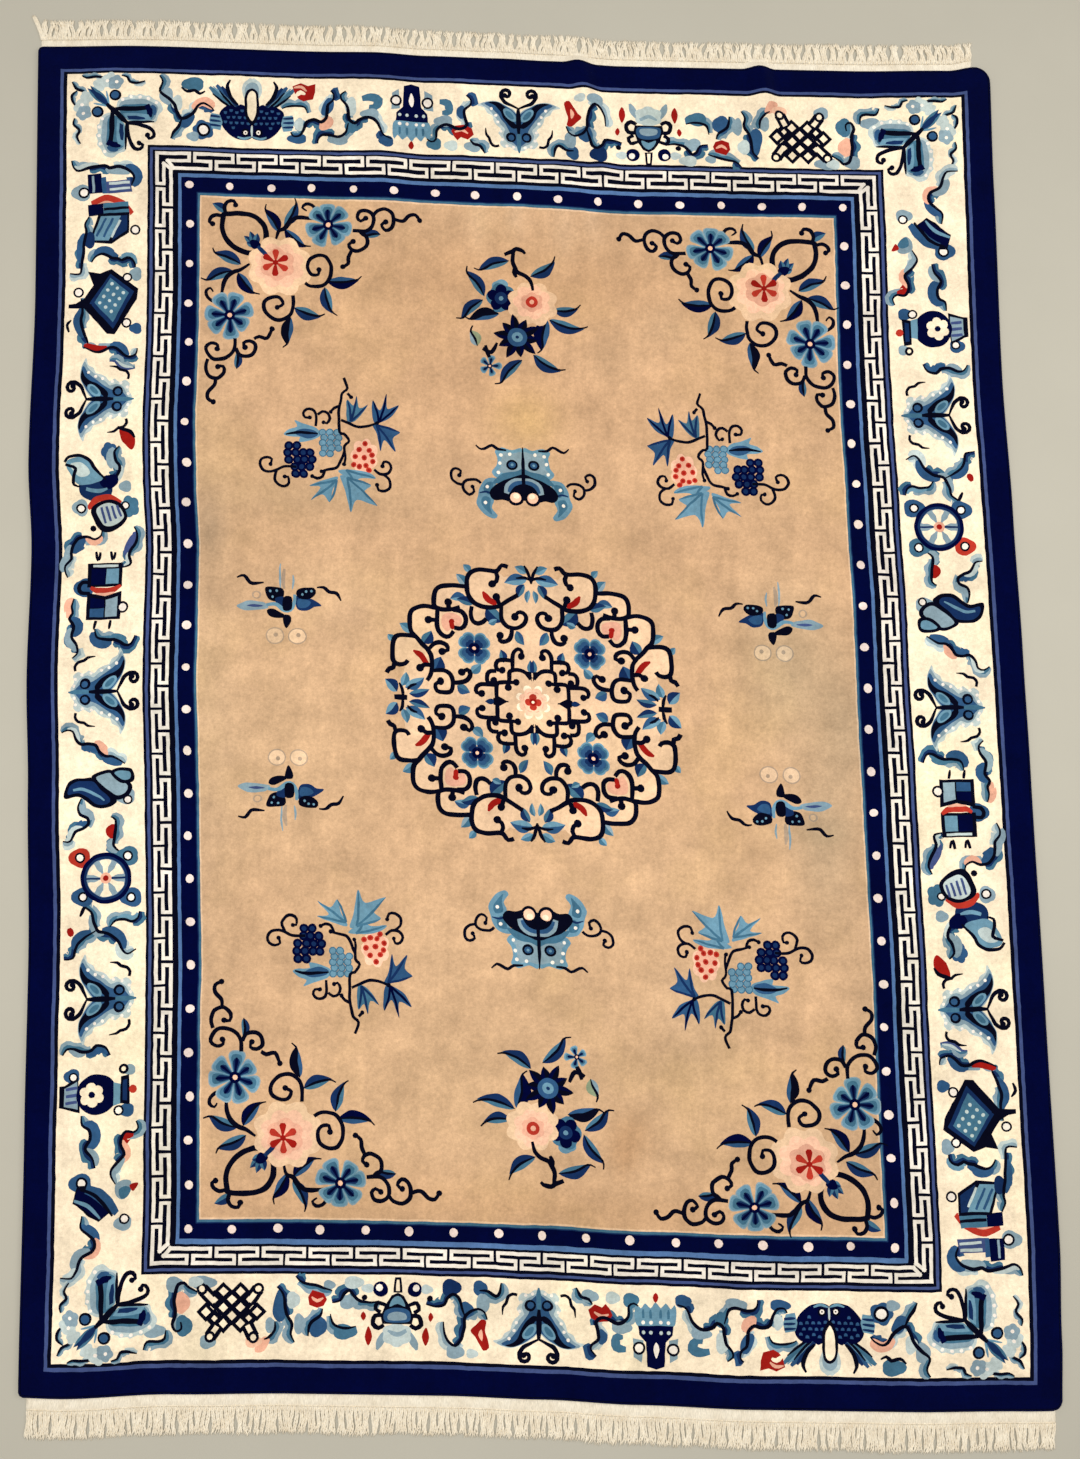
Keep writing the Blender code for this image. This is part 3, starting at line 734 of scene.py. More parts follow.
def wheel():
    shapes = ribbon(8, (162, 2390), (150, 2407), (167, 2422), (172, 2445), (180, 2465), (187, 2475), (210, 2480), (225, 2490),
                    (240, 2505), (250, 2525), (265, 2535), (287, 2524),
                    fills=(("blue", 0.45, 0.8, 26), ("grey", 0.2, 0.5, -16), ("mist", 0.7, 0.95, -20)))
    shapes += ribbon(7, (180, 2472), (155, 2485), (135, 2500), (125, 2520), (120, 2542), (95, 2546), fills=(("blue", 0.1, 0.6, -22),))
    shapes += ribbon(7, (215, 2464), (230, 2447), (255, 2445), (275, 2450), (290, 2442), (296, 2423), fills=(("sky", 0.3, 0.9, 16),))
    shapes += line("ink", 7, (152, 2404), (136, 2432), start=0.8) + line("red", 12, (108, 2462), (116, 2484), start=0.5)
    for tone, x, y in (("brick", 140, 2279), ("teal", 267, 2277), ("blue", 145, 2382), ("blue", 274, 2387)):
        shapes += puff(tone, x, y, 30, 26, 4) + eye(x, y, 14)
    shapes += disc("navy", 208, 2334, 68) + disc("deep", 208, 2334, 58) + disc("grey", 208, 2334, 51)
    for turn in (32, 90, 148, 212, 270, 328):
        c, s = math.cos(math.radians(turn)), math.sin(math.radians(turn))
        shapes += blob("cream", *((208 + u * c - v * s, 2334 + u * s + v * c)
                                  for u, v in ((14, 5), (32, 8), (46, 16), (50, 0), (46, -16), (32, -8), (14, -5))))
    shapes += line("deep", 4, (152, 2334), (264, 2334), start=0.9, end=0.9)
    shapes += disc("pink", 208, 2334, 15) + disc("red", 208, 2334, 8)
    return shapes


def vase():
    shapes = ribbon(8, (99, 2794), (108, 2779), (126, 2776), (150, 2785), (174, 2782), (186, 2770), (210, 2776), (222, 2796),
                    fills=(("grey", 0.15, 0.5, -18), ("blue", 0.5, 0.95, -22)))
    shapes += puff("blue", 124, 2848, 22, 20, 4) + puff("blue", 266, 2940, 22, 18, 4) + puff("grey", 272, 2836, 18, 14, 4)
    shapes += patch("ink", (91, 2874), (104, 2872), (140, 2850), (146, 2944), (104, 2932), (91, 2930))
    shapes += patch("grey", (104, 2880), (138, 2862), (140, 2934), (104, 2926))
    for y in (2878, 2896, 2914):
        shapes += line("slate", 6, (108, y + 4), (138, y), start=0.9, end=0.9)
    shapes += disc("navy", 189, 2897, 53) + patch("sky", (232, 2868), (252, 2872), (252, 2922), (232, 2928))
    shapes += patch("ink", (250, 2852), (272, 2848), (276, 2926), (250, 2922)) + patch("deep", (256, 2862), (267, 2860), (268, 2916), (256, 2914))
    for k in range(6):
        a = math.pi * k / 3 + 0.4
        shapes += disc("cream", 176 + 20 * math.cos(a), 2898 + 20 * math.sin(a), 13)
    shapes += disc("navy", 176, 2898, 9) + disc("brick", 283, 2886, 11) + eye(128, 2851, 13)
    shapes += disc("ink", 258, 2833, 13) + disc("cream", 258, 2833, 6) + eye(246, 2940, 14)
    shapes += ribbon(8, (150, 2950), (153, 2974), (171, 2986), (174, 3010), (162, 3034), (180, 3058), (187, 3084),
                     fills=(("blue", 0.15, 0.6, 28), ("grey", 0.6, 0.95, 18)))
    shapes += ribbon(8, (294, 2969), (300, 2986), (288, 2998), (267, 2995), (256, 3010), (255, 3028), (264, 3052), (240, 3076),
                     (228, 3100), (241, 3126), fills=(("red", 0.15, 0.5, 24), ("pink", 0.4, 0.7, 18), ("grey", 0.6, 0.95, 20)))
    return shapes


def scroll():
    shapes = puff("blue", 150, 3122, 30, 26, 4) + eye(153, 3121, 16)
    shapes += line("ink", 46, (136, 3150), (176, 3164), (214, 3208), start=0.7, end=0.6)
    shapes += line("navy", 34, (138, 3152), (176, 3168), (214, 3206), start=0.7, end=0.6)
    shapes += line("blue", 22, (164, 3136), (200, 3152), (246, 3200), start=0.7, end=0.5)
    shapes += line("ink", 7, (150, 3136), (190, 3154), (234, 3206), start=0.7, end=0.6) + line("sky", 7, (134, 3164), (172, 3180), (202, 3212), start=0.7)
    shapes += blob("grey", (240, 3128), (262, 3116), (282, 3122), (276, 3150), (258, 3166), (242, 3152)) + blob(
        "teal", (250, 3140), (268, 3132), (282, 3140), (272, 3158), (256, 3164)) + blob("red", (278, 3130), (300, 3124), (288, 3146))
    shapes += puff("grey", 262, 3226, 24, 20, 4) + eye(265, 3215, 14)
    shapes += ribbon(8, (156, 3202), (153, 3232), (171, 3250), (189, 3268), (186, 3292), (156, 3310), (144, 3340), (132, 3358),
                     (103, 3358), fills=(("blue", 0.1, 0.4, 24), ("pink", 0.35, 0.6, 18), ("grey", 0.5, 0.8, -24), ("mist", 0.75, 0.98, -18)))
    return shapes


def hook(width, *points, wool="ink"):
    """A stroke with a round bud at its end."""
    return line(wool, width, *points, start=0.9, end=0.8) + disc(wool, *points[-1], width * WEIGHT * 0.72)


def petal(wool, x, y, turn, reach, width):
    """A petal with a round tip, from (x, y) outwards."""
    side = ((0.16, 0.12), (0.5, 0.34), (0.8, 0.5), (0.96, 0.3))
    outline = side + tuple((along, -across) for along, across in reversed(side))
    c, s = math.cos(turn), math.sin(turn)
    return blob(wool, *[(x + reach * along * c - width * across * s, y + reach * along * s + width * across * c)
                        for along, across in outline])


def flower(x, y, radius, petals=8, tones=("grey", "sky", "teal", "deep", "navy"), heart="rose", turn=0):
    """Uneven petals in shades that darken inwards, each with a dark vein, round a light heart."""
    shapes, dice = [], random.Random(round(x + y))
    uneven = [(dice.uniform(-0.1, 0.1), dice.uniform(0.84, 1.06)) for _ in range(petals)]
    for tone, reach, wide in zip(tones, (1.0, 0.96, 0.86, 0.7, 0.74), (0.66, 0.56, 0.42, 0.26, 0.12)):
        for k, (swing, length) in enumerate(uneven):
            a = math.radians(turn) + 2 * math.pi * k / petals + swing
            shapes += petal(tone, x, y, a, radius * reach * length, radius * wide)
    return shapes + disc(tones[-1], x, y, radius * 0.22) + disc(heart, x, y, radius * 0.1)


def corner_spray():
    """The flowering spray in the field's far left corner."""
    shapes = []
    for base, tip, wide, tones in (
        ((683, 540), (641, 472), 32, ("blue", "navy")),
        ((696, 520), (733, 452), 32, ("teal", "deep")),
        ((697, 530), (757, 580), 34, ("blue", "navy")),
        ((575, 635), (498, 603), 34, ("teal", "deep")),
        ((552, 654), (475, 687), 34, ("teal", "deep")),
        ((566, 659), (613, 722), 34, ("blue", "navy")),
        ((815, 678), (904, 675), 36, ("blue", "navy")),
        ((809, 696), (830, 773), 34, ("teal", "deep")),
        ((725, 757), (799, 782), 34, ("teal", "deep")),
        ((715, 785), (706, 866), 34, ("blue", "ink")),
        ((966, 540), (915, 546), 24, ("teal", "deep")),
        ((568, 938), (568, 884), 22, ("teal", "deep")),
    ):
        shapes += leaf(base, tip, wide, 0.08, tones, 1 if base[0] > tip[0] else -1)
    shapes += line("ink", 9, (671, 566), (680, 537), (697, 528), (720, 502), (743, 495), (797, 500))
    shapes += line("ink", 9, (599, 633), (575, 649), (552, 659), (533, 677), (524, 705), (522, 740))
    shapes += line("ink", 7, (783, 497), (786, 477), (774, 458), (757, 455), (747, 466), (760, 475))
    shapes += line("ink", 7, (522, 740), (501, 746), (482, 733), (479, 715), (491, 707), (499, 718))
    shapes += leaf((534, 486), (492, 462), 26, 0.1, ("teal", "deep"))
    shapes += line("ink", 11, (521, 500), (526, 492), (561, 488), (599, 490), (627, 505), (643, 530), (645, 562), (634, 588),
                   (606, 602), (576, 596), (547, 578), (528, 552), (522, 524), (526, 494), start=0.9, end=0.9)
    shapes += hook(8, (524, 498), (506, 494), (490, 502), (486, 514), (495, 520))
    shapes += hook(8, (532, 490), (528, 472), (537, 455), (554, 452), (560, 464))
    for tip in ((584, 552), (600, 538), (622, 544), (590, 572)):
        shapes += leaf((616, 580), tip, 20, 0.0, ("teal", "deep"))
    shapes += blob("navy", (600, 566), (618, 564), (632, 578), (626, 592), (606, 588))
    shapes += puff("blush", 683, 638, 88, 84, 8) + puff("rose", 681, 636, 68, 64, 8) + puff("pink", 676, 632, 48, 46, 6)
    shapes += line("deep", 9, (622, 582), (650, 610), start=0.8)
    for k in range(6):
        shapes += petal("brick" if k % 2 else "red", 671, 628, 2 * math.pi * k / 6 - 0.5, 40, 19)
    shapes += disc("red", 671, 628, 8)
    shapes += flower(820, 514, 68, 7, turn=10) + flower(545, 784, 70, 7, turn=35)
    for points in (
        ((888, 530), (925, 531), (944, 512), (946, 486), (930, 472), (909, 474), (901, 491), (911, 502), (925, 494)),
        ((946, 486), (958, 472), (981, 466), (1000, 479), (1003, 502), (995, 521), (980, 527), (969, 512), (981, 503)),
        ((1002, 492), (1028, 498), (1047, 481), (1065, 477), (1076, 493)),
        ((911, 533), (928, 551), (925, 575), (902, 590), (883, 584), (878, 570), (889, 562)),
        ((886, 586), (876, 607), (874, 626), (860, 636)),
        ((753, 684), (771, 694), (804, 691), (823, 668), (827, 635), (813, 607), (790, 603), (767, 617), (761, 640),
         (771, 659), (791, 660), (793, 645)),
        ((720, 722), (722, 747), (715, 775), (692, 792), (664, 789), (641, 766), (641, 743), (659, 729), (683, 729),
         (693, 747), (677, 758)),
        ((561, 850), (559, 883), (538, 906), (505, 911), (487, 897), (481, 878), (496, 865), (513, 870), (512, 882)),
        ((564, 878), (575, 897), (599, 900), (615, 887), (617, 866), (601, 856), (585, 862), (589, 875)),
        ((613, 850), (627, 843), (650, 846), (663, 820)),
        ((487, 911), (482, 934), (491, 957), (515, 965), (533, 948), (531, 931), (516, 932)),
        ((510, 967), (508, 985), (491, 1004), (491, 1023), (507, 1032)),
    ):
        shapes += hook(8, *points)
    return shapes


def vine_leaf(wool, vein, *rim):
    """A leaf with three points, every second one of its rim's from the third on, and a vein to each."""
    shapes = blob(wool, *rim)
    (x, y), last = rim[0], rim[-1]
    x, y = (x + last[0]) / 2, (y + last[1]) / 2
    for tip in rim[2:-1:2]:
        shapes += line(vein, 4.5, (x, y), (0.55 * x + 0.45 * tip[0] + 3, 0.55 * y + 0.45 * tip[1]), tip, start=1.0, end=0.2)
    return shapes


def grapes():
    """The vine with a dark and a red bunch, below the far left spray."""
    shapes = puff("rose", 922, 1178, 36, 48, 7) + puff("pink", 920, 1184, 30, 38, 6)
    shapes += blob("sky", (700, 1118), (716, 1103), (738, 1095), (730, 1078), (756, 1088), (792, 1100), (802, 1122), (772, 1136),
                   (742, 1140), (746, 1126), (716, 1124)) + blob("blue", (730, 1114), (752, 1102), (784, 1106), (796, 1120), (768, 1130))
    shapes += line("ink", 6, (706, 1118), (744, 1112), (796, 1116), start=0.5)
    shapes += vine_leaf("teal", "deep", (875, 1080), (873, 1034), (877, 1018), (892, 1034), (901, 1008), (908, 1042),
                        (930, 1032), (912, 1062), (892, 1080))
    shapes += vine_leaf("blue", "navy", (949, 1084), (942, 1050), (945, 1018), (964, 1046), (983, 1000), (984, 1042),
                        (1016, 1030), (996, 1064), (971, 1079))
    shapes += vine_leaf("blue", "deep", (944, 1089), (956, 1118), (966, 1164), (976, 1133), (1006, 1164), (1000, 1128),
                        (1020, 1108), (990, 1102), (966, 1090))
    shapes += vine_leaf("sky", "teal", (850, 1220), (867, 1236), (892, 1250), (908, 1240), (952, 1240), (932, 1224), (892, 1217))
    shapes += vine_leaf("sky", "teal", (848, 1237), (818, 1244), (768, 1262), (799, 1267), (770, 1302), (804, 1286),
                        (822, 1308), (830, 1277), (841, 1257))
    shapes += vine_leaf("sky", "teal", (855, 1234), (866, 1276), (878, 1334), (896, 1300), (952, 1316), (917, 1280),
                        (938, 1258), (892, 1242))
    dice = random.Random(3)
    for row in range(5):
        for at in range(2 + (row < 4)):
            shapes += disc("teal", 808 + 20 * at + 4 * (row % 2), 1112 + 15 * row, 11) + disc("sky", 808 + 20 * at + 4 * (row % 2), 1112 + 15 * row, 8)
    for row, (count, left) in enumerate(((2, 716), (4, 712), (4, 716), (3, 728), (2, 732))):
        for at in range(count):
            x, y = left + 21 * at + dice.uniform(-2, 2), 1150 + 20 * row
            shapes += disc("navy", x, y, 13) + disc("deep", x, y, 7)
    for x, y in ((924, 1143), (908, 1160), (935, 1162), (897, 1180), (922, 1183), (943, 1175), (945, 1193), (892, 1203),
                 (908, 1208), (926, 1205), (934, 1217)):
        shapes += disc("brick", x, y, 8) + disc("red", x, y, 4)
    for points in (
        ((866, 956), (876, 985), (862, 1000), (858, 1020), (853, 1050), (854, 1110), (866, 1115), (880, 1135), (868, 1150),
         (870, 1185), (866, 1202)),
        ((876, 1000), (886, 1011)),
        ((855, 1035), (840, 1042), (831, 1053)),
        ((868, 1165), (858, 1190), (845, 1212), (820, 1218), (803, 1223)),
        ((812, 1222), (805, 1238), (790, 1243), (777, 1237)),
        ((790, 1095), (790, 1060), (780, 1047), (765, 1046), (755, 1058), (760, 1070), (773, 1070)),
        ((795, 1062), (808, 1052), (822, 1057), (828, 1072), (820, 1087), (811, 1084)),
        ((735, 1210), (700, 1210), (680, 1220), (665, 1225), (645, 1222), (635, 1205), (640, 1190), (655, 1184), (668, 1190), (664, 1204)),
        ((680, 1222), (673, 1245), (685, 1262), (700, 1265), (712, 1255), (710, 1239), (701, 1238)),
        ((858, 1075), (880, 1085), (905, 1095), (935, 1092), (956, 1084)),
        ((948, 1215), (965, 1228), (985, 1225), (995, 1210), (988, 1195), (975, 1194), (971, 1206)),
        ((975, 1230), (988, 1240), (990, 1262), (975, 1274), (958, 1272), (954, 1257)),
    ):
        shapes += hook(6, *points)
    return shapes


def top_spray():
    """The upright spray at the middle of the field's far side."""
    shapes = []
    for base, tip, wide, tones in (
        ((1325, 600), (1238, 632), 34, ("teal", "deep")),
        ((1385, 642), (1454, 594), 34, ("teal", "deep")),
        ((1256, 706), (1202, 633), 32, ("teal", "deep")),
        ((1252, 716), (1188, 776), 32, ("teal", "deep")),
        ((1297, 755), (1210, 776), 36, ("blue", "ink")),
        ((1430, 765), (1414, 858), 44, ("blue", "navy")),
        ((1435, 765), (1534, 786), 34, ("teal", "deep")),
        ((1446, 738), (1518, 728), 30, ("teal", "deep")),
        ((1390, 870), (1467, 912), 34, ("teal", "deep")),
        ((1360, 885), (1298, 957), 32, ("teal", "deep")),
        ((1236, 850), (1214, 804), 34, ("grey", "green")),
    ):
        shapes += leaf(base, tip, wide, 0.1, tones, 1 if base[0] > tip[0] else -1)
    shapes += puff("sky", 1302, 674, 24, 20, 4) + puff("teal", 1303, 708, 40, 42, 5)
    for k in range(5):
        a = math.radians(72 * k - 90)
        shapes += disc("navy", 1303 + 24 * math.cos(a), 708 + 24 * math.sin(a), 16)
    shapes += disc("deep", 1303, 708, 18) + disc("sky", 1303, 708, 7)
    shapes += puff("blush", 1390, 722, 68, 62, 8) + puff("rose", 1388, 716, 50, 48, 7)
    shapes += puff("pink", 1388, 716, 30, 28, 6) + disc("brick", 1388, 716, 17) + disc("pink", 1388, 716, 7)
    for k in range(10):
        a = math.radians(36 * k + 8)
        reach = 68 if k % 2 else 58
        shapes += leaf((1347 + 12 * math.cos(a), 820 + 12 * math.sin(a)),
                       (1347 + reach * math.cos(a), 820 + reach * math.sin(a)), 25, 0.0, ("navy", "ink"))
    shapes += disc("blue", 1347, 820, 27) + disc("sky", 1347, 820, 15) + disc("deep", 1347, 820, 5)
    shapes += flower(1270, 905, 34, 5)
    for points in (
        ((1338, 570), (1335, 600), (1343, 620), (1350, 632), (1370, 640), (1385, 655), (1391, 682)),
        ((1312, 582), (1335, 572), (1345, 565), (1365, 570), (1371, 577)),
        ((1343, 618), (1340, 632), (1346, 646)),
        ((1250, 855), (1275, 865), (1291, 838)),
        ((1270, 880), (1262, 862), (1258, 846)),
    ):
        shapes += line("ink", 9, *points, start=0.8, end=0.6)
    return shapes


def field_butterfly():
    """The large butterfly between the far spray and the medallion, on x = 1356."""
    half = blob("sky", (1430, 1224), (1460, 1229), (1477, 1252), (1482, 1274), (1488, 1296), (1476, 1317), (1460, 1332),
                (1440, 1338), (1431, 1328), (1445, 1308), (1438, 1286), (1446, 1262), (1432, 1242))
    half += blob("teal", (1440, 1236), (1460, 1240), (1466, 1258), (1452, 1272), (1442, 1256))
    half += blob("teal", (1448, 1282), (1468, 1278), (1474, 1296), (1462, 1314), (1446, 1328), (1450, 1306))
    half += line("deep", 4, (1440, 1272), (1458, 1264), (1478, 1268))
    half += blob("sky", (1356, 1140), (1384, 1143), (1412, 1136), (1432, 1146), (1426, 1166), (1430, 1190), (1442, 1208),
                 (1426, 1224), (1390, 1224), (1356, 1216))
    half += blob("grey", (1356, 1150), (1384, 1152), (1408, 1149), (1415, 1168), (1418, 1194), (1424, 1206), (1356, 1208))
    half += blob("teal", (1356, 1194), (1376, 1202), (1402, 1206), (1424, 1218), (1440, 1240), (1400, 1232), (1356, 1224))
    half += blob("ink", (1356, 1212), (1382, 1218), (1412, 1230), (1436, 1246), (1450, 1268), (1438, 1286), (1414, 1284),
                 (1392, 1290), (1370, 1284), (1356, 1262))
    half += disc("ink", 1379, 1280, 21, 20) + disc("rose", 1379, 1277, 15, 15) + disc("cream", 1377, 1272, 9, 8)
    half += line("grey", 14, (1358, 1229), (1378, 1232), (1396, 1244), (1404, 1266), start=0.8, end=0.7)
    half += line("blue", 8, (1360, 1233), (1377, 1236), (1391, 1247), (1398, 1262), start=0.8, end=0.7)
    half += disc("ink", 1386, 1184, 16, 15) + disc("blue", 1386, 1184, 10, 9) + disc("sky", 1386, 1184, 4)
    half += line("ink", 6, (1400, 1143), (1424, 1141), (1440, 1131), (1455, 1138), (1470, 1144), (1484, 1132), start=0.6)
    half += hook(6, (1474, 1241), (1486, 1231), (1512, 1233), (1523, 1245), (1520, 1262), (1506, 1273), (1493, 1265),
                 (1497, 1251))
    half += hook(6, (1523, 1245), (1538, 1243), (1552, 1230), (1552, 1209), (1540, 1201), (1527, 1208), (1532, 1220))
    for x, y in ((1416, 1158), (1391, 1154), (1420, 1180), (1424, 1208), (1456, 1250), (1463, 1294)):
        half += disc("white", x, y, 5)
    shapes = both(half, 1356)
    return shapes + line("ink", 7, (1356, 1134), (1356, 1180), (1356, 1216), (1356, 1284), start=0.3, end=0.8)


def moth():
    """The small butterfly that flies slanting at the field's left, between the spray and the medallion."""
    shapes = blob("grey", (562, 1603), (579, 1592), (598, 1586), (637, 1591), (650, 1604), (618, 1611), (583, 1613))
    shapes += blob("slate", (590, 1600), (612, 1596), (636, 1600), (612, 1604))
    shapes += line("grey", 4, (682, 1552), (679, 1518), (681, 1482)) + line("grey", 4, (714, 1552), (717, 1530), (715, 1512))
    shapes += line("faded", 8, (692, 1552), (688, 1525), (692, 1496)) + disc("faded", 616, 1570, 13, 11) + disc("field", 616, 1570, 8)
    shapes += blob("deep", (725, 1570), (752, 1574), (772, 1580), (793, 1597), (774, 1600), (754, 1611), (729, 1605))
    shapes += blob("blue", (730, 1578), (752, 1580), (766, 1588), (752, 1602), (732, 1600))
    shapes += blob("ink", (640, 1549), (664, 1547), (688, 1551), (692, 1568), (677, 1586), (652, 1583), (642, 1567))
    shapes += blob("ink", (726, 1555), (744, 1547), (772, 1547), (778, 1562), (762, 1577), (741, 1578), (727, 1570))
    for x, y in ((660, 1574), (671, 1557), (654, 1559), (752, 1557), (766, 1556), (742, 1565)):
        shapes += disc("sky", x, y, 3.5)
    shapes += blob("deep", (668, 1577), (690, 1572), (702, 1590), (692, 1606), (672, 1594))
    shapes += blob("ink", (645, 1612), (662, 1606), (694, 1622), (694, 1630), (670, 1632), (652, 1626))
    shapes += line("sky", 8, (644, 1597), (670, 1594), (694, 1610), (710, 1608), (720, 1590), (721, 1566), start=0.7, end=0.7)
    shapes += blob("ink", (690, 1574), (712, 1574), (713, 1607), (691, 1609))
    shapes += blob("ink", (691, 1624), (710, 1624), (712, 1640), (699, 1660), (691, 1642))
    for points in (((563, 1523), (582, 1519), (598, 1537), (614, 1539), (635, 1537)),
                   ((780, 1546), (798, 1545), (813, 1558), (833, 1561), (846, 1582))):
        shapes += line("ink", 7, *points, start=0.4, end=0.4)
    for x in (669, 729):
        shapes += disc("faded", x, 1681, 25, 23) + disc("blush", x, 1681, 21.5, 19.5) + disc("faded", x + 3, 1678, 6)
    return shapes


def medallion_quarter():
    """The far left quarter of the round medallion."""
    shapes = []
    for points in (
        ((1270, 1486), (1223, 1483), (1196, 1494), (1189, 1531), (1205, 1573), (1250, 1586), (1290, 1570), (1300, 1520)),
        ((1190, 1534), (1118, 1534), (1100, 1550), (1104, 1592), (1168, 1592)),
        ((1104, 1594), (1050, 1595), (1034, 1625), (1040, 1664), (1080, 1700), (1104, 1660)),
        ((1050, 1674), (1002, 1674), (986, 1700), (990, 1748), (1030, 1756), (1082, 1790), (1094, 1740)),
        ((1110, 1598), (1160, 1598), (1186, 1620), (1176, 1648), (1152, 1656), (1130, 1672), (1110, 1650)),
    ):
        shapes += blob("blush", *points)
    shapes += blob("pink", (1122, 1612), (1150, 1606), (1174, 1618), (1170, 1640), (1150, 1646), (1134, 1658), (1120, 1640))
    for base, tip, wide, tones in (
        ((1240, 1588), (1284, 1626), 40, ("teal", "deep")),
        ((1246, 1630), (1270, 1618), 18, ("sky", "teal")),
        ((1186, 1560), (1142, 1566), 26, ("sky", "blue")),
        ((1206, 1580), (1160, 1566), 26, ("teal", "deep")),
        ((1070, 1694), (1092, 1656), 34, ("teal", "deep")),
        ((1100, 1768), (1118, 1728), 40, ("blue", "deep")),
        ((1162, 1804), (1196, 1822), 28, ("teal", "blue")),
        ((1198, 1768), (1226, 1742), 26, ("sky", "teal")),
        ((1322, 1648), (1344, 1686), 24, ("blue", "teal")),
        ((1288, 1736), (1280, 1700), 22, ("teal", "deep")),
        ((1186, 1528), (1160, 1496), 26, ("grey", "teal")),
        ((1040, 1664), (1006, 1640), 26, ("sky", "teal")),
        ((1198, 1490), (1180, 1468), 20, ("sky", "teal")),
        ((988, 1692), (974, 1672), 20, ("sky", "teal")),
        ((1352, 1488), (1318, 1470), 24, ("sky", "teal")),
        ((1352, 1506), (1290, 1516), 34, ("sky", "blue")),
        ((1344, 1518), (1326, 1558), 25, ("teal", "deep")),
        ((1358, 1534), (1352, 1570), 16, ("sky", "teal")),
        ((998, 1828), (966, 1794), 32, ("sky", "deep")),
        ((1012, 1812), (1024, 1774), 24, ("sky", "teal")),
        ((1020, 1816), (1072, 1786), 30, ("sky", "blue")),
        ((1030, 1832), (1086, 1818), 22, ("teal", "deep")),
    ):
        shapes += leaf(base, tip, wide, 0.08, tones)
    shapes += line("ink", 6, (1026, 1822), (1036, 1811), (1052, 1805)) + line("ink", 6, (1363, 1508), (1345, 1500), (1322, 1502))
    shapes += line("ink", 7, (1345, 1466), (1356, 1486), (1364, 1516)) + line("ink", 7, (1004, 1804), (1012, 1820), (1015, 1844))
    shapes += line("ink", 8, (990, 1841), (1026, 1841), start=0.9, end=0.9)
    shapes += line("red", 12, (1232, 1543), (1244, 1562), (1268, 1576), start=0.3, end=0.8)
    shapes += line("red", 12, (1043, 1714), (1062, 1724), (1080, 1748), start=0.3, end=0.8)
    shapes += disc("red", 1147, 1630, 8) + line("red", 9, (1147, 1632), (1150, 1652), start=0.9)
    for points in (
        ((1327, 1549), (1309, 1560), (1282, 1577), (1264, 1585), (1232, 1585), (1205, 1572), (1191, 1549), (1189, 1513),
         (1198, 1492), (1223, 1483), (1264, 1485), (1275, 1479), (1284, 1468), (1300, 1472)),
        ((1189, 1531), (1150, 1529), (1118, 1533), (1102, 1547), (1098, 1572), (1102, 1590), (1127, 1597), (1150, 1595), (1170, 1589)),
        ((1202, 1585), (1199, 1608), (1205, 1626), (1218, 1631), (1232, 1626), (1241, 1617)),
        ((1109, 1592), (1107, 1631), (1111, 1654), (1125, 1670), (1141, 1670), (1153, 1656)),
        ((1150, 1597), (1173, 1600), (1184, 1615), (1184, 1635), (1173, 1647), (1154, 1647)),
        ((1104, 1592), (1077, 1588), (1050, 1594), (1036, 1608), (1034, 1640), (1039, 1663), (1052, 1676), (1068, 1695),
         (1082, 1708), (1093, 1731), (1092, 1772), (1080, 1794)),
        ((1055, 1676), (1032, 1672), (1002, 1674), (989, 1690), (986, 1731), (991, 1748), (1005, 1754), (1021, 1751), (1028, 1741)),
        ((991, 1748), (988, 1763), (977, 1767), (970, 1778)),
    ):
        shapes += line("ink", 9.5, *points, start=0.9, end=0.9)
    for points in (
        ((1266, 1487), (1271, 1499), (1268, 1513), (1257, 1521)),
        ((1276, 1580), (1268, 1556)),
        ((1282, 1576), (1280, 1604), (1285, 1624), (1299, 1638), (1323, 1640), (1342, 1629), (1349, 1610), (1341, 1597), (1326, 1597), (1318, 1609)),
        ((1309, 1640), (1309, 1658), (1301, 1674), (1288, 1679), (1276, 1674), (1278, 1662)),
        ((1139, 1597), (1137, 1576)),
        ((1104, 1626), (1084, 1626)),
        ((1092, 1752), (1076, 1750), (1061, 1760)),
        ((1086, 1708), (1100, 1692), (1118, 1688), (1134, 1695), (1138, 1709), (1122, 1713)),
        ((1093, 1767), (1127, 1765), (1145, 1777), (1150, 1799), (1145, 1820), (1127, 1825), (1107, 1822), (1102, 1804), (1117, 1795)),
        ((1150, 1797), (1177, 1795), (1193, 1785), (1198, 1770), (1190, 1760), (1175, 1768)),
    ):
        shapes += hook(9, *points) + disc("ink", *points[-1], 11)
    for points in (
        ((1360, 1780), (1347, 1763), (1332, 1756), (1310, 1756), (1303, 1764), (1303, 1781), (1299, 1804)),
        ((1268, 1838), (1268, 1800), (1277, 1791), (1301, 1790), (1321, 1789)),
        ((1312, 1756), (1312, 1724), (1316, 1706), (1327, 1698), (1337, 1704), (1336, 1718)),
        ((1310, 1730), (1286, 1728), (1271, 1732), (1266, 1745), (1272, 1756), (1284, 1757)),
        ((1268, 1759), (1253, 1760), (1244, 1769), (1243, 1786), (1250, 1794), (1261, 1785)),
        ((1268, 1799), (1243, 1797), (1222, 1799), (1213, 1808), (1215, 1820), (1227, 1823)),
    ):
        shapes += hook(8.5, *points) + disc("ink", *points[-1], 10)
    shapes += leaf((1360, 1766), (1360, 1726), 18, 0.0, ("teal", "deep")) + leaf((1264, 1843), (1236, 1843), 16, 0.0, ("blue", "deep"))
    shapes += patch("ink", (1344, 1758), (1362, 1760), (1362, 1786), (1352, 1772))
    shapes += patch("ink", (1258, 1834), (1274, 1830), (1300, 1845), (1260, 1845))
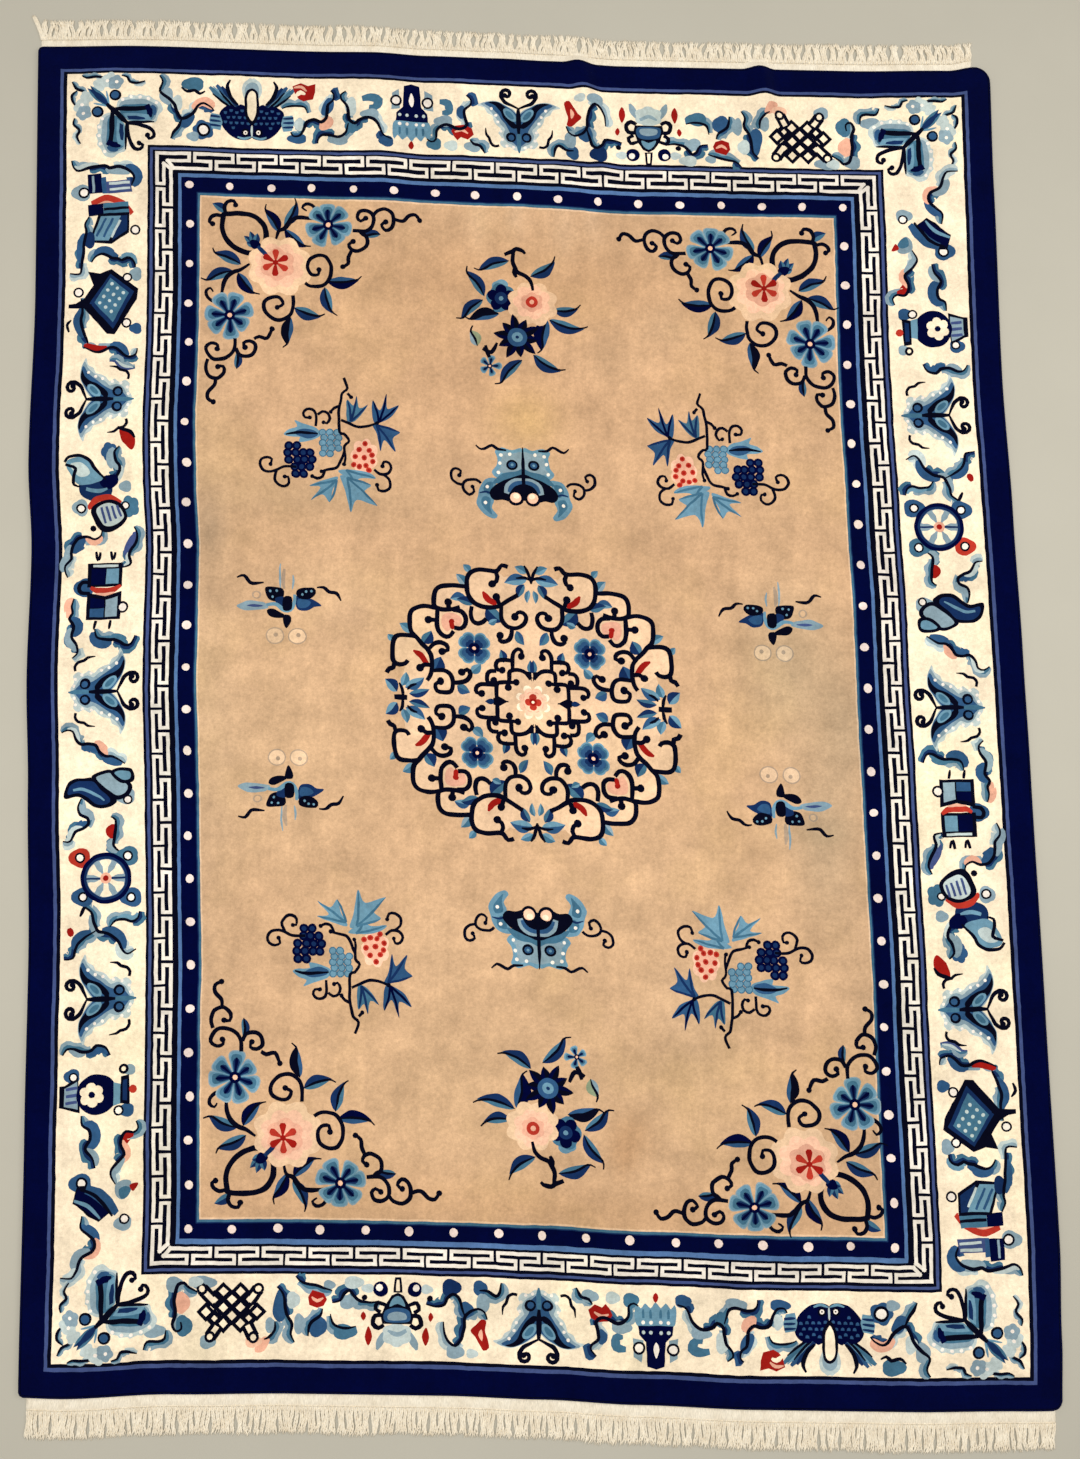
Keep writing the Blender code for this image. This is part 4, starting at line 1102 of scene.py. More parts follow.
    for tone, reach, wide in (("sky", 31, 17), ("teal", 29, 14.5), ("blue", 26, 12), ("deep", 17, 9), ("navy", 9, 7)):
        for side in range(4):
            for sway in (-14, 14):
                a = math.radians(45 + 90 * side + sway)
                shapes += disc(tone, 1208 + reach * math.cos(a), 1700 + reach * math.sin(a), wide)
        shapes += disc(tone, 1208, 1700, wide)
    return shapes + disc("rose", 1208, 1700, 5)


MIDDLE = (1360, 1843)  # the medallion's
# How far each corner spray lies from where a mirror would put it, by (right, near)
CORNER_SHIFTS = {(False, False): (0, 0), (True, False): (-10, 22), (False, True): (6, -56), (True, True): (4, -34)}


def four_ways(shapes, x, y):
    """The shapes and their mirror images over two axes through a place."""
    out = []
    for wool, outline in shapes:
        out.append((wool, outline))
        out.append((wool, [(2 * x - px, py) for px, py in outline]))
        out.append((wool, [(px, 2 * y - py) for px, py in outline]))
        out.append((wool, [(2 * x - px, 2 * y - py) for px, py in outline]))
    return out


def medallion():
    x, y = MIDDLE
    shapes = disc("blush", x, y, 350) + four_ways(medallion_quarter(), x + 4, y)
    x += 4
    for tone, radius, size in (("cream", 37, 11), ("rose", 28, 12), ("pink", 20, 9)):
        for k in range(8):
            a = 2 * math.pi * (k + 0.5) / 8
            shapes += disc(tone, x + radius * math.cos(a), y + radius * math.sin(a), size)
    shapes += disc("rose", x, y, 26)
    for k in range(4):
        a = math.pi * k / 2
        shapes += disc("brick", x + 13 * math.cos(a), y + 13 * math.sin(a), 10)
    return shapes + disc("red", x, y, 10) + disc("cream", x, y, 4)


def field():
    x, y = MIDDLE[0], MIDDLE[1] + 6
    shapes = four_ways(grapes(), x, y)
    spray = corner_spray()
    for (right, near), (dx, dy) in CORNER_SHIFTS.items():
        shapes += [(wool, [((2 * x - px if right else px) + dx, (2 * y - py if near else py) + dy)
                           for px, py in outline]) for wool, outline in spray]
    spray, y = top_spray(), MIDDLE[1]
    shapes += spray + [(wool, [(2 * x - px, 2 * y + 2 - py) for px, py in outline]) for wool, outline in spray]
    bug = field_butterfly()
    shapes += bug + [(wool, [(px, 2 * y + 6 - py) for px, py in outline]) for wool, outline in bug]
    shapes += four_ways(moth(), x, y + 4)
    return shapes + medallion()


def corner_ribbons():
    """Short wavy ribbons behind the corner butterflies, at the far left and mirrored at the far right."""
    shapes = []
    for points in (
        ((126, 89), (140, 96), (160, 94), (187, 96), (206, 101)),
        ((100, 107), (110, 126), (124, 133), (135, 140), (135, 151)),
        ((114, 133), (100, 145), (100, 163), (112, 182)),
        ((238, 91), (254, 96), (261, 110), (280, 112), (305, 106)),
        ((107, 215), (105, 233), (121, 252), (114, 271), (126, 291)),
    ):
        shapes += ribbon(7, *points, size=11, tones=("grey", "mist", "blue"))
    shapes += disc("ink", 173, 112, 7)
    return shapes + [(wool, [(WIDTH - x, y) for x, y in outline]) for wool, outline in shapes]


def border_half():
    """The picture band's far side and left side; half a turn of the carpet gives the other two."""
    shapes = corner_ribbons()
    for picture in (left_of_fish, double_fish, fish_to_canopy, canopy, canopy_to_butterfly, butterfly_to_pot, pot,
                    pot_to_knot, knot, knot_to_corner, books, chess_box, fan_and_gourd, drum, blocks, leaf_scroll,
                    wheel, vase, scroll):
        shapes += picture()
    shapes += moved(butterfly(), 1359, 196)
    shapes += moved(butterfly(), 202, 1027, turn=-90) + moved(butterfly(), 200, 1835, turn=90)
    shapes += moved(butterfly(), 204, 2650, turn=-90)
    shapes += moved(corner_butterfly(), 206, 184, turn=135, size=1.12)
    shapes += moved(corner_butterfly(), WIDTH - 206, 184, turn=-135, size=1.12)
    return settled(shapes)


def shift_at(edge, distance):
    """An edge table's shift at a distance, eased from one row to the next."""
    for (start, low), (end, high) in zip(edge, edge[1:]):
        if distance <= end:
            part = (distance - start) / (end - start)
            return low + (high - low) * part * part * (3 - 2 * part)
    return edge[-1][1]


def rounded(across, along):
    """Draw a place near a corner in, so that the corner's two edges meet in an arc."""
    for at_left, at_far, radius in CORNERS:
        from_side = across if at_left else PILE_WIDTH - across
        from_end = along if at_far else PILE_LENGTH - along
        if from_side < radius and from_end < radius:
            side = 1 - from_side / radius
            end = 1 - from_end / radius
            shrink = max(side, end) / math.hypot(side, end)
            from_side = radius * (1 - side * shrink)
            from_end = radius * (1 - end * shrink)
            across = from_side if at_left else PILE_WIDTH - from_side
            along = from_end if at_far else PILE_LENGTH - from_end
    return across, along


def plan(across, along):
    """World x and y of a place on the carpet, with its uneven edges and its skew."""
    across, along = rounded(across, along)
    right_share = across / PILE_WIDTH
    near_share = along / PILE_LENGTH
    x = across - PILE_WIDTH / 2
    x += right_share * shift_at(RIGHT_EDGE, along) - (1 - right_share) * shift_at(LEFT_EDGE, along)
    y = PILE_LENGTH / 2 - along
    y += (1 - near_share) * shift_at(FAR_EDGE, across) - near_share * shift_at(NEAR_EDGE, across)
    return x + SKEW * y, y


def crease_lift(across, along):
    """Height that the creases add to the pile at a place."""
    lift = 0.0
    for start, finish, length, height, half_width in CREASES:
        part = along / length
        if part >= 1:
            continue
        from_ridge = abs(across - start - (finish - start) * part) / half_width
        if from_ridge < 1:
            lift += height * (1 - part * part) * 0.5 * (1 + math.cos(math.pi * from_ridge))
    return lift


def linear(wool):
    """A dye as linear red, green and blue."""
    values = [value / 255 for value in WOOLS[wool]]
    return [v / 12.92 if v < 0.04045 else ((v + 0.055) / 1.055) ** 2.4 for v in values]


def bands():
    """Nested rectangles, from the guard band to the field."""
    shapes = []
    for wool, side, far, near in BANDS:
        shapes += patch(wool, (side, far), (WIDTH - side, far), (WIDTH - side, LENGTH - near), (side, LENGTH - near))
    return shapes


def bar(wool, width, start, end):
    """A straight bar with square ends half its width beyond its two points."""
    size = math.dist(start, end)
    ux, uy = (end[0] - start[0]) / size * width / 2, (end[1] - start[1]) / size * width / 2
    return patch(wool, (start[0] - ux - uy, start[1] - uy + ux), (end[0] + ux - uy, end[1] + uy + ux),
                 (end[0] + ux + uy, end[1] + uy - ux), (start[0] - ux + uy, start[1] - uy - ux))


def fret_turns(length, units):
    """The fret's line along one side, as (distance from the corner, rail), the outer rail first."""
    first, run, back, reach = 45, 105, 61, 167
    pitch = (length - 151 - first) / units
    turns = [(0, 0), (90, 0), (90, 1), (30, 1), (46, 2)]
    for unit in range(units):
        start = first + pitch * unit
        turns += [(start + run, 2), (start + run, 1), (start + back, 1), (start + back, 0),
                  (start + reach, 0), (start + reach, 1), (start + pitch, 1), (start + pitch, 2)]
    return turns + [(length - 46, 2), (length - 30, 1), (length - 90, 1), (length - 90, 0), (length, 0)]


def fret():
    """One line that runs along each side in hooks."""
    (side0, far0, near0) = RAILS[0]
    shapes = []
    ends = fret_turns(WIDTH - 2 * side0, FRET_UNITS["end"])
    sides = fret_turns(LENGTH - far0 - near0, FRET_UNITS["side"])
    runs = (
        [(side0 + at, RAILS[rail][1]) for at, rail in ends],
        [(side0 + at, LENGTH - RAILS[rail][2]) for at, rail in ends],
        [(RAILS[rail][0], far0 + at) for at, rail in sides],
        [(WIDTH - RAILS[rail][0], far0 + at) for at, rail in sides],
    )
    for run in runs:
        for start, end in zip(run, run[1:]):
            shapes += bar("fret", FRET_WIDTH, start, end)
    return shapes


def pearls():
    side, far, near = PEARL_INSET
    dice = random.Random(7)
    places = []
    for at in range(PEARLS["end"]):
        x = side + (WIDTH - 2 * side) * at / (PEARLS["end"] - 1)
        places += [(x, far), (x, LENGTH - near)]
    for at in range(1, PEARLS["side"] - 1):
        y = far + (LENGTH - far - near) * at / (PEARLS["side"] - 1)
        places += [(side, y), (WIDTH - side, y)]
    shapes = []
    for x, y in places:
        x += dice.uniform(-3, 3)
        y += dice.uniform(-2, 2)
        shapes += disc("pearl", x, y, PEARL * dice.uniform(0.88, 1.06), PEARL * dice.uniform(0.88, 1.06))
    return shapes


def turned(shapes):
    """The shapes after half a turn of the carpet, as its other end and side have them."""
    return [(wool, [(WIDTH - x, LENGTH - y) for x, y in outline]) for wool, outline in shapes]


def design():
    shapes = bands() + fret() + pearls()
    half = border_half()
    shapes += half + turned(half)
    shapes += field()
    return shapes

# The pile mesh: spacing of its plain points in mm, finer over the creases
COARSE = 36
FINE = 12
CREASE_ZONE = ((1440, 1720, 450), (1980, 2130, 250))  # (from, to, along)
RIM_STEPS = (0.4, 0.75, 1.0)  # how far out over the shoulder the rim's rings stand
SIDE_STEP = 14
BACK_THICKNESS = 0.0015

# Pile pieces: (name, left, far, right, near), in mm, the first that holds a place takes it
PIECES = (
    ("pile_field", 459, 441, WIDTH - 459, LENGTH - 440),
    ("pile_frame", 313, 295, WIDTH - 313, LENGTH - 302),
    ("pile_border_far", 86, 84, WIDTH - 86, 295),
    ("pile_border_near", 86, LENGTH - 302, WIDTH - 86, LENGTH - 87),
    ("pile_border_left", 86, 84, 313, LENGTH - 87),
    ("pile_border_right", WIDTH - 313, 84, WIDTH - 86, LENGTH - 87),
    ("pile_guard", 0, 0, WIDTH, LENGTH),
)


def grid_points(inset):
    """Points all over the pile inside its shoulder, and the ring of them on its edge."""
    points = []
    columns = round((WIDTH - 2 * inset) / COARSE)
    rows = round((LENGTH - 2 * inset) / COARSE)
    for row in range(1, rows):
        for column in range(1, columns):
            shift = 0.5 if row % 2 else 0.0
            x = inset + (WIDTH - 2 * inset) * (column + shift - 0.25) / columns
            points.append((x, inset + (LENGTH - 2 * inset) * row / rows))
    for start, end, length in CREASE_ZONE:
        for row in range(round(length / FINE)):
            for column in range(round((end - start) / FINE)):
                points.append((start + column * FINE + 1.5, inset + 3 + (row + 0.5) * FINE))
    ring = []
    right, near = WIDTH - inset, LENGTH - inset
    step_x = (right - inset) / round((right - inset) / FINE)
    step_y = (near - inset) / round((near - inset) / FINE)
    ring += [(inset + step_x * k, inset) for k in range(round((right - inset) / FINE))]
    ring += [(right, inset + step_y * k) for k in range(round((near - inset) / FINE))]
    ring += [(right - step_x * k, near) for k in range(round((right - inset) / FINE))]
    ring += [(inset, near - step_y * k) for k in range(round((near - inset) / FINE))]
    return points, ring


def warped(x, y):
    """A place shifted as the weaver's hand shifts it: a fine wobble over a slow drift."""
    for reach, size in ((21, 1.5), (150, 2.2)):
        shift = noise.noise_vector(Vector((x / reach, y / reach, reach * 0.37)))
        x += size * shift.x
        y += size * shift.y
    return x, y


def drawn(outline):
    """An outline with its long sides divided, and every point shifted by the weaver's hand."""
    points = []
    for (x0, y0), (x1, y1) in zip(outline, outline[1:] + outline[:1]):
        parts = max(1, round(math.dist((x0, y0), (x1, y1)) / SIDE_STEP))
        for part in range(parts):
            points.append(warped(x0 + (x1 - x0) * part / parts, y0 + (y1 - y0) * part / parts))
    return points


def stains_and_painted_light(places):
    """How much red, green and blue the stains, the wear and the painted light over the near half leave at each place.
    """
    left = np.ones((len(places), 3))
    for x, y, wide, tall, tint in STAINS_AND_PAINTED_LIGHT:
        far = ((places[:, 0] - x) / wide) ** 2 + ((places[:, 1] - y) / tall) ** 2
        left *= 1 + (np.array(tint) - 1) * np.exp(-far)[:, None]
    return left


def inside(outline, x, y):
    """Which of the places lie inside the outline, by how often it winds round them."""
    wind = np.zeros(len(x), dtype=int)
    for (x0, y0), (x1, y1) in zip(outline, outline[1:] + outline[:1]):
        if y0 == y1:
            continue
        up = (y0 <= y) & (y < y1)
        down = (y1 <= y) & (y < y0)
        side = (x1 - x0) * (y - y0) - (x - x0) * (y1 - y0)
        wind += np.where(up & (side > 0), 1, 0) - np.where(down & (side < 0), 1, 0)
    return wind != 0


def cut_plan(shapes, inset):
    """Triangles of the plan, cut along every outline: (points, triangles, number of each one's shape)."""
    plain, ring = grid_points(inset)
    points = list(ring)
    edges = [(k, (k + 1) % len(ring)) for k in range(len(ring))]
    for _, outline in shapes[1:]:
        start = len(points)
        points += outline
        edges += [(start + k, start + (k + 1) % len(outline)) for k in range(len(outline))]
    points += plain
    cut = delaunay_2d_cdt([Vector(p) for p in points], edges, [], 0, 1e-4, False)
    places = np.array([(p.x, p.y) for p in cut[0]])
    triangles = np.array([face for face in cut[2] if len(face) == 3])
    centres = places[triangles].mean(axis=1)
    kept = ((centres > inset) & (centres < (WIDTH - inset, LENGTH - inset))).all(axis=1)
    triangles, centres = triangles[kept], centres[kept]
    order = np.argsort(centres[:, 0])
    xs = centres[order, 0]
    owner = np.zeros(len(triangles), dtype=int)
    for number, (_, outline) in enumerate(shapes):
        corners = np.array(outline)
        low, high = corners.min(axis=0), corners.max(axis=0)
        first, last = np.searchsorted(xs, (low[0], high[0]))
        near = order[first:last]
        near = near[(centres[near, 1] > low[1]) & (centres[near, 1] < high[1])]
        hit = near[inside(outline, centres[near, 0], centres[near, 1])]
        owner[hit] = number
    return places, triangles, owner, centres


def pile_height(x, y):
    """Height of the pile's top at a place in mm, with its creases and a slight unevenness."""
    swell = noise.noise(Vector((x / 420, y / 420, 3.1)))
    small = noise.noise(Vector((x / 90, y / 90, 9.7)))
    return PILE_THICKNESS + crease_lift(x / 1000, y / 1000) + 0.0007 * swell + 0.0003 * small


def make_pile():
    """The pile's pieces, one mesh cut by region, with the rim's shoulder and wall on the outer one."""
    shapes = design()
    shapes = shapes[:1] + [(wool, drawn(outline)) for wool, outline in shapes[1:]]
    inset = SHOULDER * 1000
    places, triangles, owner, centres = cut_plan(shapes, inset)
    dice = random.Random(11)
    dyes = []
    for wool, _ in shapes:
        shade = dice.uniform(0.92, 1.08)
        dyes.append([value * shade for value in linear(wool)])
    heights = [pile_height(x, y) for x, y in places]
    worlds = [(*plan(x / 1000, y / 1000), z) for (x, y), z in zip(places, heights)]
    slopes = [top_normal(x, y) for x, y in places]
    # stains and wear, and the painted light that brightens the near half
    tints = stains_and_painted_light(places)

    taken = np.zeros(len(triangles), dtype=bool)
    pieces = []
    for name, left, far, right, near in PIECES:
        x, y = centres[:, 0], centres[:, 1]
        mine = ~taken & (x > left) & (x < right) & (y > far) & (y < near)
        taken |= mine
        used, corners = np.unique(triangles[mine], return_inverse=True)
        corners = corners.reshape(-1, 3)
        points = [worlds[k] for k in used]
        faces = [list(face) for face in corners]
        wools = [dyes[k] for k in owner[mine]]
        normals = [slopes[k] for k in used]
        left_over = [tints[k] for k in used]
        if name == "pile_guard":
            add_rim(points, faces, wools, used, places, dyes[0], inset)
        more = len(points) - len(normals)
        normals += [(0.0, 0.0, 0.0)] * more
        left_over += [np.ones(3)] * more
        pieces.append(add_piece(name, points, faces, wools, np.array(left_over), normals))
    return pieces


def top_normal(x, y):
    """The pile's normal at a place in mm, from its height a little way off."""
    step = 6.0
    rise_x = (pile_height(x + step, y) - pile_height(x - step, y)) / (2 * step / 1000)
    rise_y = (pile_height(x, y - step) - pile_height(x, max(0.0, y + step))) / (2 * step / 1000)
    return Vector((-rise_x, -rise_y, 1.0)).normalized()


def add_rim(points, faces, tints, used, places, dye, inset):
    """Rings of faces from the cut plan's outer edge over the shoulder and down the wall."""
    right, near = WIDTH - inset, LENGTH - inset
    low = 1e-3

    def angle(k):
        x, y = places[used[k]]
        if y < inset + low:
            return x - inset
        if x > right - low:
            return right - inset + y - inset
        if y > near - low:
            return 2 * right - x - inset + near - inset
        return 2 * (right - inset) + 2 * near - y - inset

    edge = [k for k in range(len(used)) if min(places[used[k]][0] - inset, places[used[k]][1] - inset,
                                               right - places[used[k]][0], near - places[used[k]][1]) < low]
    edge.sort(key=angle)
    rings = [edge]
    for out in (*RIM_STEPS, None):
        ring = []
        for k in edge:
            x, y = places[used[k]]
            share = 1.0 if out is None else out
            u = x + ((x - inset) * WIDTH / (right - inset) - x) * share
            v = y + ((y - inset) * LENGTH / (near - inset) - y) * share
            top = EDGE_WALL + (PILE_THICKNESS - EDGE_WALL) * math.sqrt(1 - share * share)
            height = BACK_THICKNESS if out is None else top
            ring.append(len(points))
            points.append((*plan(u / 1000, v / 1000), height + crease_lift(u / 1000, v / 1000)))
        rings.append(ring)
    count = len(edge)
    for inner, outer in zip(rings, rings[1:]):
        for at in range(count):
            after = (at + 1) % count
            faces.append([inner[at], inner[after], outer[after], outer[at]])
            tints.append(dye)


def add_piece(name, points, faces, wools, tints, normals):
    """A smooth-shaded mesh object with its dyes on its faces' corners, facing up."""
    mesh = bpy.data.meshes.new(name)
    mesh.from_pydata(points, [], faces)
    layer = mesh.color_attributes.new("dye", "FLOAT_COLOR", "CORNER")
    colours = np.ones((len(mesh.loops), 4), dtype=np.float32)
    at = 0
    for face, dye in zip(faces, wools):
        colours[at:at + len(face), :3] = tints[face] * dye
        at += len(face)
    layer.data.foreach_set("color", colours.ravel())
    mesh.shade_smooth()
    mesh.update()
    if mesh.polygons[0].normal.z < 0:
        mesh.flip_normals()
    mesh.normals_split_custom_set_from_vertices(normals)
    item = bpy.data.objects.new(name, mesh)
    bpy.context.scene.collection.objects.link(item)
    return item

# The fringes, in metres: sizes at the far end and at the near end
BAND_TOP = 0.0028
BAND_LENGTH = {"far": 0.034, "near": 0.044}
BAND_STITCH = {"far": 0.024, "near": 0.031}
TUFTS = 246
TUFT_REACH = {"far": (0.078, 0.090), "near": (0.100, 0.112)}
TUFT_STRANDS = 5
TUFT_SIDES = 5
TUFT_TWIST = {"far": 0.9, "near": 1.1}
TUFT_CURL = {"far": 0.0046, "near": 0.0026}
TUFT_STEPS = 9
STRAND_RADIUS = 0.0019
FRINGE_GAP = 0.0004
# Where each end's fringe starts and stops across, where the corners are round
FRINGE_SPAN = {"far": (0.004, 2.650), "near": (0.020, 2.684)}


def end_place(across, out, end):
    """World x, y of a place outside an end's edge, out metres beyond it."""
    along = 0.0 if end == "far" else PILE_LENGTH
    x, y = plan(across, along)
    sign = 1 if end == "far" else -1
    return x, y + sign * (out + FRINGE_GAP)


def add_mesh(name, points, faces, smooth=True):
    mesh = bpy.data.meshes.new(name)
    mesh.from_pydata(points, [], faces)
    if smooth:
        mesh.shade_smooth()
    work = bmesh.new()
    work.from_mesh(mesh)
    bmesh.ops.recalc_face_normals(work, faces=work.faces)
    work.to_mesh(mesh)
    work.free()
    item = bpy.data.objects.new(name, mesh)
    bpy.context.scene.collection.objects.link(item)
    return item


def make_band(end):
    """The flat-woven strip outside the pile, a little lifted where a crease runs out under it."""
    start, stop = FRINGE_SPAN[end]
    columns = 400
    length, stitch = BAND_LENGTH[end], BAND_STITCH[end]
    profile = [(0.0, 0.92), (length * 0.2, 1.0), (stitch - 0.003, 0.98), (stitch - 0.001, 0.55), (stitch + 0.001, 0.55),
               (stitch + 0.003, 0.95), (length, 0.8)]
    points, faces = [], []
    rows = len(profile)
    for column in range(columns + 1):
        across = start + (stop - start) * column / columns
        for out, share in profile:
            x, y = end_place(across, out, end)
            rise = crease_lift(across, 0.0) if end == "far" else 0.0
            rise *= max(0.0, 1 - out / 0.05) ** 2
            lump = 0.0003 * noise.noise(Vector((across * 60, out * 40, 2.0)))
            points.append((x, y, BAND_TOP * share + rise + lump))
        for out, _ in (profile[-1], profile[0]):
            x, y = end_place(across, out, end)
            rise = crease_lift(across, 0.0) if end == "far" else 0.0
            points.append((x, y, rise * max(0.0, 1 - out / 0.05) ** 2))
    size = rows + 2
    for column in range(columns):
        for row in range(size):
            a, b = column * size + row, column * size + (row + 1) % size
            faces.append((a, b, b + size, a + size))
    faces.append(tuple(range(size)))
    faces.append(tuple(columns * size + k for k in range(size)))
    return add_mesh("fringe_band_" + end, points, faces)


def strand_path(across, end, wave, reach, splay, lane):
    """Centre line of one strand, from under the band's lip to its tip on the floor, twisted with its neighbours."""
    start = BAND_LENGTH[end] - 0.012
    path = []
    for step in range(TUFT_STEPS + 1):
        t = step / TUFT_STEPS
        out = start + (reach - start) * t
        x, y = end_place(across, out, end)
        curl = splay * t * t + TUFT_CURL[end] * (math.sin(wave + 6.0 * t) - math.sin(wave)) * min(1.0, 1.5 * t)
        turn = 2 * math.pi * (TUFT_TWIST[end] * t + lane / TUFT_STRANDS) + wave
        wide = 0.0034 + 0.0012 * t * t
        z = STRAND_RADIUS + 0.0010 * (1 + math.sin(turn))
        path.append((x + curl + wide * math.cos(turn), y, z))
    return path


def add_tube(points, faces, path, radius):
    """A closed tube round a path, thinner at its tip."""
    start = len(points)
    last = len(path) - 1
    for step, (x, y, z) in enumerate(path):
        t = step / last
        size = radius * (0.75 + 0.45 * math.sin(math.pi * min(1.0, 0.15 + t * 0.75))) * (1 if step < last else 0.35)
        for side in range(TUFT_SIDES):
            a = 2 * math.pi * side / TUFT_SIDES
            points.append((x + size * math.cos(a), y, max(0.0002, z + size * math.sin(a))))
    for step in range(last):
        for side in range(TUFT_SIDES):
            a = start + step * TUFT_SIDES + side
            b = start + step * TUFT_SIDES + (side + 1) % TUFT_SIDES
            faces.append((a, b, b + TUFT_SIDES, a + TUFT_SIDES))
    faces.append(tuple(start + k for k in range(TUFT_SIDES)))
    faces.append(tuple(start + last * TUFT_SIDES + k for k in range(TUFT_SIDES)))


def make_tufts(end):
    dice = random.Random(19 if end == "far" else 23)
    start, stop = FRINGE_SPAN[end]
    low, high = TUFT_REACH[end]
    points, faces = [], []
    for tuft in range(TUFTS):
        across = start + 0.005 + (stop - start - 0.010) * tuft / (TUFTS - 1)
        drift = 0.0035 * noise.noise(Vector((across * 9, 0.5, 4.0 if end == "far" else 8.0)))
        loose = 0.006 if end == "far" else 0.0028
        splay = drift + dice.uniform(-loose, loose)
        length = low + (high - low) * (0.5 + 0.5 * noise.noise(Vector((across * 7, 1.5, 6.0))))
        wave = dice.uniform(0, 2 * math.pi)
        for strand in range(TUFT_STRANDS):
            reach = length * dice.uniform(0.91, 1.0)
            path = strand_path(across, end, wave, reach, splay + dice.uniform(-0.0016, 0.0016), strand)
            add_tube(points, faces, path, STRAND_RADIUS * dice.uniform(0.75, 1.05))
    if end == "far":
        add_lone_lock(points, faces, dice)
    return add_mesh("fringe_tufts_" + end, points, faces)


def add_lone_lock(points, faces, dice):
    """The thick lock that lies on its own beyond the far left corner, leaning out."""
    for strand in range(7):
        lane = strand - 3
        path = []
        for step in range(TUFT_STEPS + 1):
            t = step / TUFT_STEPS
            x, y = end_place(0.010, 0.022 + 0.076 * t, "far")
            lean = -0.030 * t ** 1.3
            path.append((x + lean + lane * 0.0017, y - abs(lane) * 0.001 * t, STRAND_RADIUS * (1 + 0.5 * (strand % 2))))
        add_tube(points, faces, path, STRAND_RADIUS)


def cotton_material():
    """Undyed cotton yarn, with a fine twist, and tan patches that are partly soiling and partly painted shade between
    the strands.
    """
    cotton = Nodes("cotton")
    # tan patches: partly soiling, partly painted shade between the strands
    soil_and_shade = cotton.range(cotton.noise(26.0, 3.0, 0.6), 0.35, 0.75, 0.0, 0.55)
    colour = cotton.mix("MIX", soil_and_shade, (0.95, 0.86, 0.69), (0.74, 0.62, 0.44))
    yarn = cotton.range(cotton.noise(520.0, 2.0, 0.5, (1.0, 0.22, 1.0)), 0.3, 0.7, 0.84, 1.1)
    tone = cotton.add("ShaderNodeCombineColor")
    for socket in tone.inputs[:3]:
        cotton.link(yarn, socket)
    cotton.link(cotton.mix("MULTIPLY", 1.0, colour, tone.outputs["Color"]), cotton.shader.inputs["Base Color"])
    cotton.shader.inputs["Roughness"].default_value = 0.9
    cotton.shader.inputs["Specular IOR Level"].default_value = 0.2
    cotton.bump(cotton.noise(620.0, 2.0, 0.5, (1.0, 0.4, 1.0)), 0.4, 0.0006)
    return cotton.material


def make_fringes():
    cotton = cotton_material()
    pieces = []
    for end in ("far", "near"):
        for piece in (make_band(end), make_tufts(end)):
            piece.data.materials.append(cotton)
            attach(piece, "root")
            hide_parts("fringe_" + end)
            pieces.append(piece)
    return pieces


def make_back():
    """The knotted back, a thin closed sheet under the pile that rises with the creases."""
    columns, rows = 135, 183
    inset = 0.0006
    points, faces = [], []
    for level in (BACK_THICKNESS, 0.0):
        for row in range(rows + 1):
            for column in range(columns + 1):
                across = inset + (PILE_WIDTH - 2 * inset) * column / columns
                along = inset + (PILE_LENGTH - 2 * inset) * row / rows
                points.append((*plan(across, along), level + crease_lift(across, along)))
    wide = columns + 1
    under = wide * (rows + 1)
    for row in range(rows):
        for column in range(columns):
            a = row * wide + column
            faces.append((a, a + 1, a + 1 + wide, a + wide))
            faces.append((a + under, a + wide + under, a + 1 + wide + under, a + 1 + under))
    loop = [column for column in range(wide)]
    loop += [row * wide + columns for row in range(1, rows + 1)]
    loop += [rows * wide + column for column in range(columns - 1, -1, -1)]
    loop += [row * wide for row in range(rows - 1, 0, -1)]
    for at, a in enumerate(loop):
        b = loop[(at + 1) % len(loop)]
        faces.append((a, b, b + under, a + under))
    return add_mesh("carpet_back", points, faces, smooth=False)


def back_material():
    """The carpet's back: rows of knots in the field's wool over a cotton foundation."""
    back = Nodes("knotted_back")
    rows = back.add("ShaderNodeTexWave", wave_type="BANDS", bands_direction="Y")
    rows.inputs["Scale"].default_value = 90.0
    rows.inputs["Distortion"].default_value = 0.6
    back.link(back.place(), rows.inputs["Vector"])
    knots = back.add("ShaderNodeTexWave", wave_type="BANDS", bands_direction="X")
    knots.inputs["Scale"].default_value = 90.0
    knots.inputs["Distortion"].default_value = 0.6
    back.link(back.place(), knots.inputs["Vector"])
    weave = back.sum("MULTIPLY", rows.outputs["Fac"], knots.outputs["Fac"])
    share = back.range(weave, 0.0, 1.0, 0.0, 1.0)
    colour = back.mix("MIX", share, (0.42, 0.30, 0.20), (0.60, 0.45, 0.32))
    back.link(colour, back.shader.inputs["Base Color"])
    back.shader.inputs["Roughness"].default_value = 0.95
    back.bump(weave, 0.5, 0.001)
    return back.material


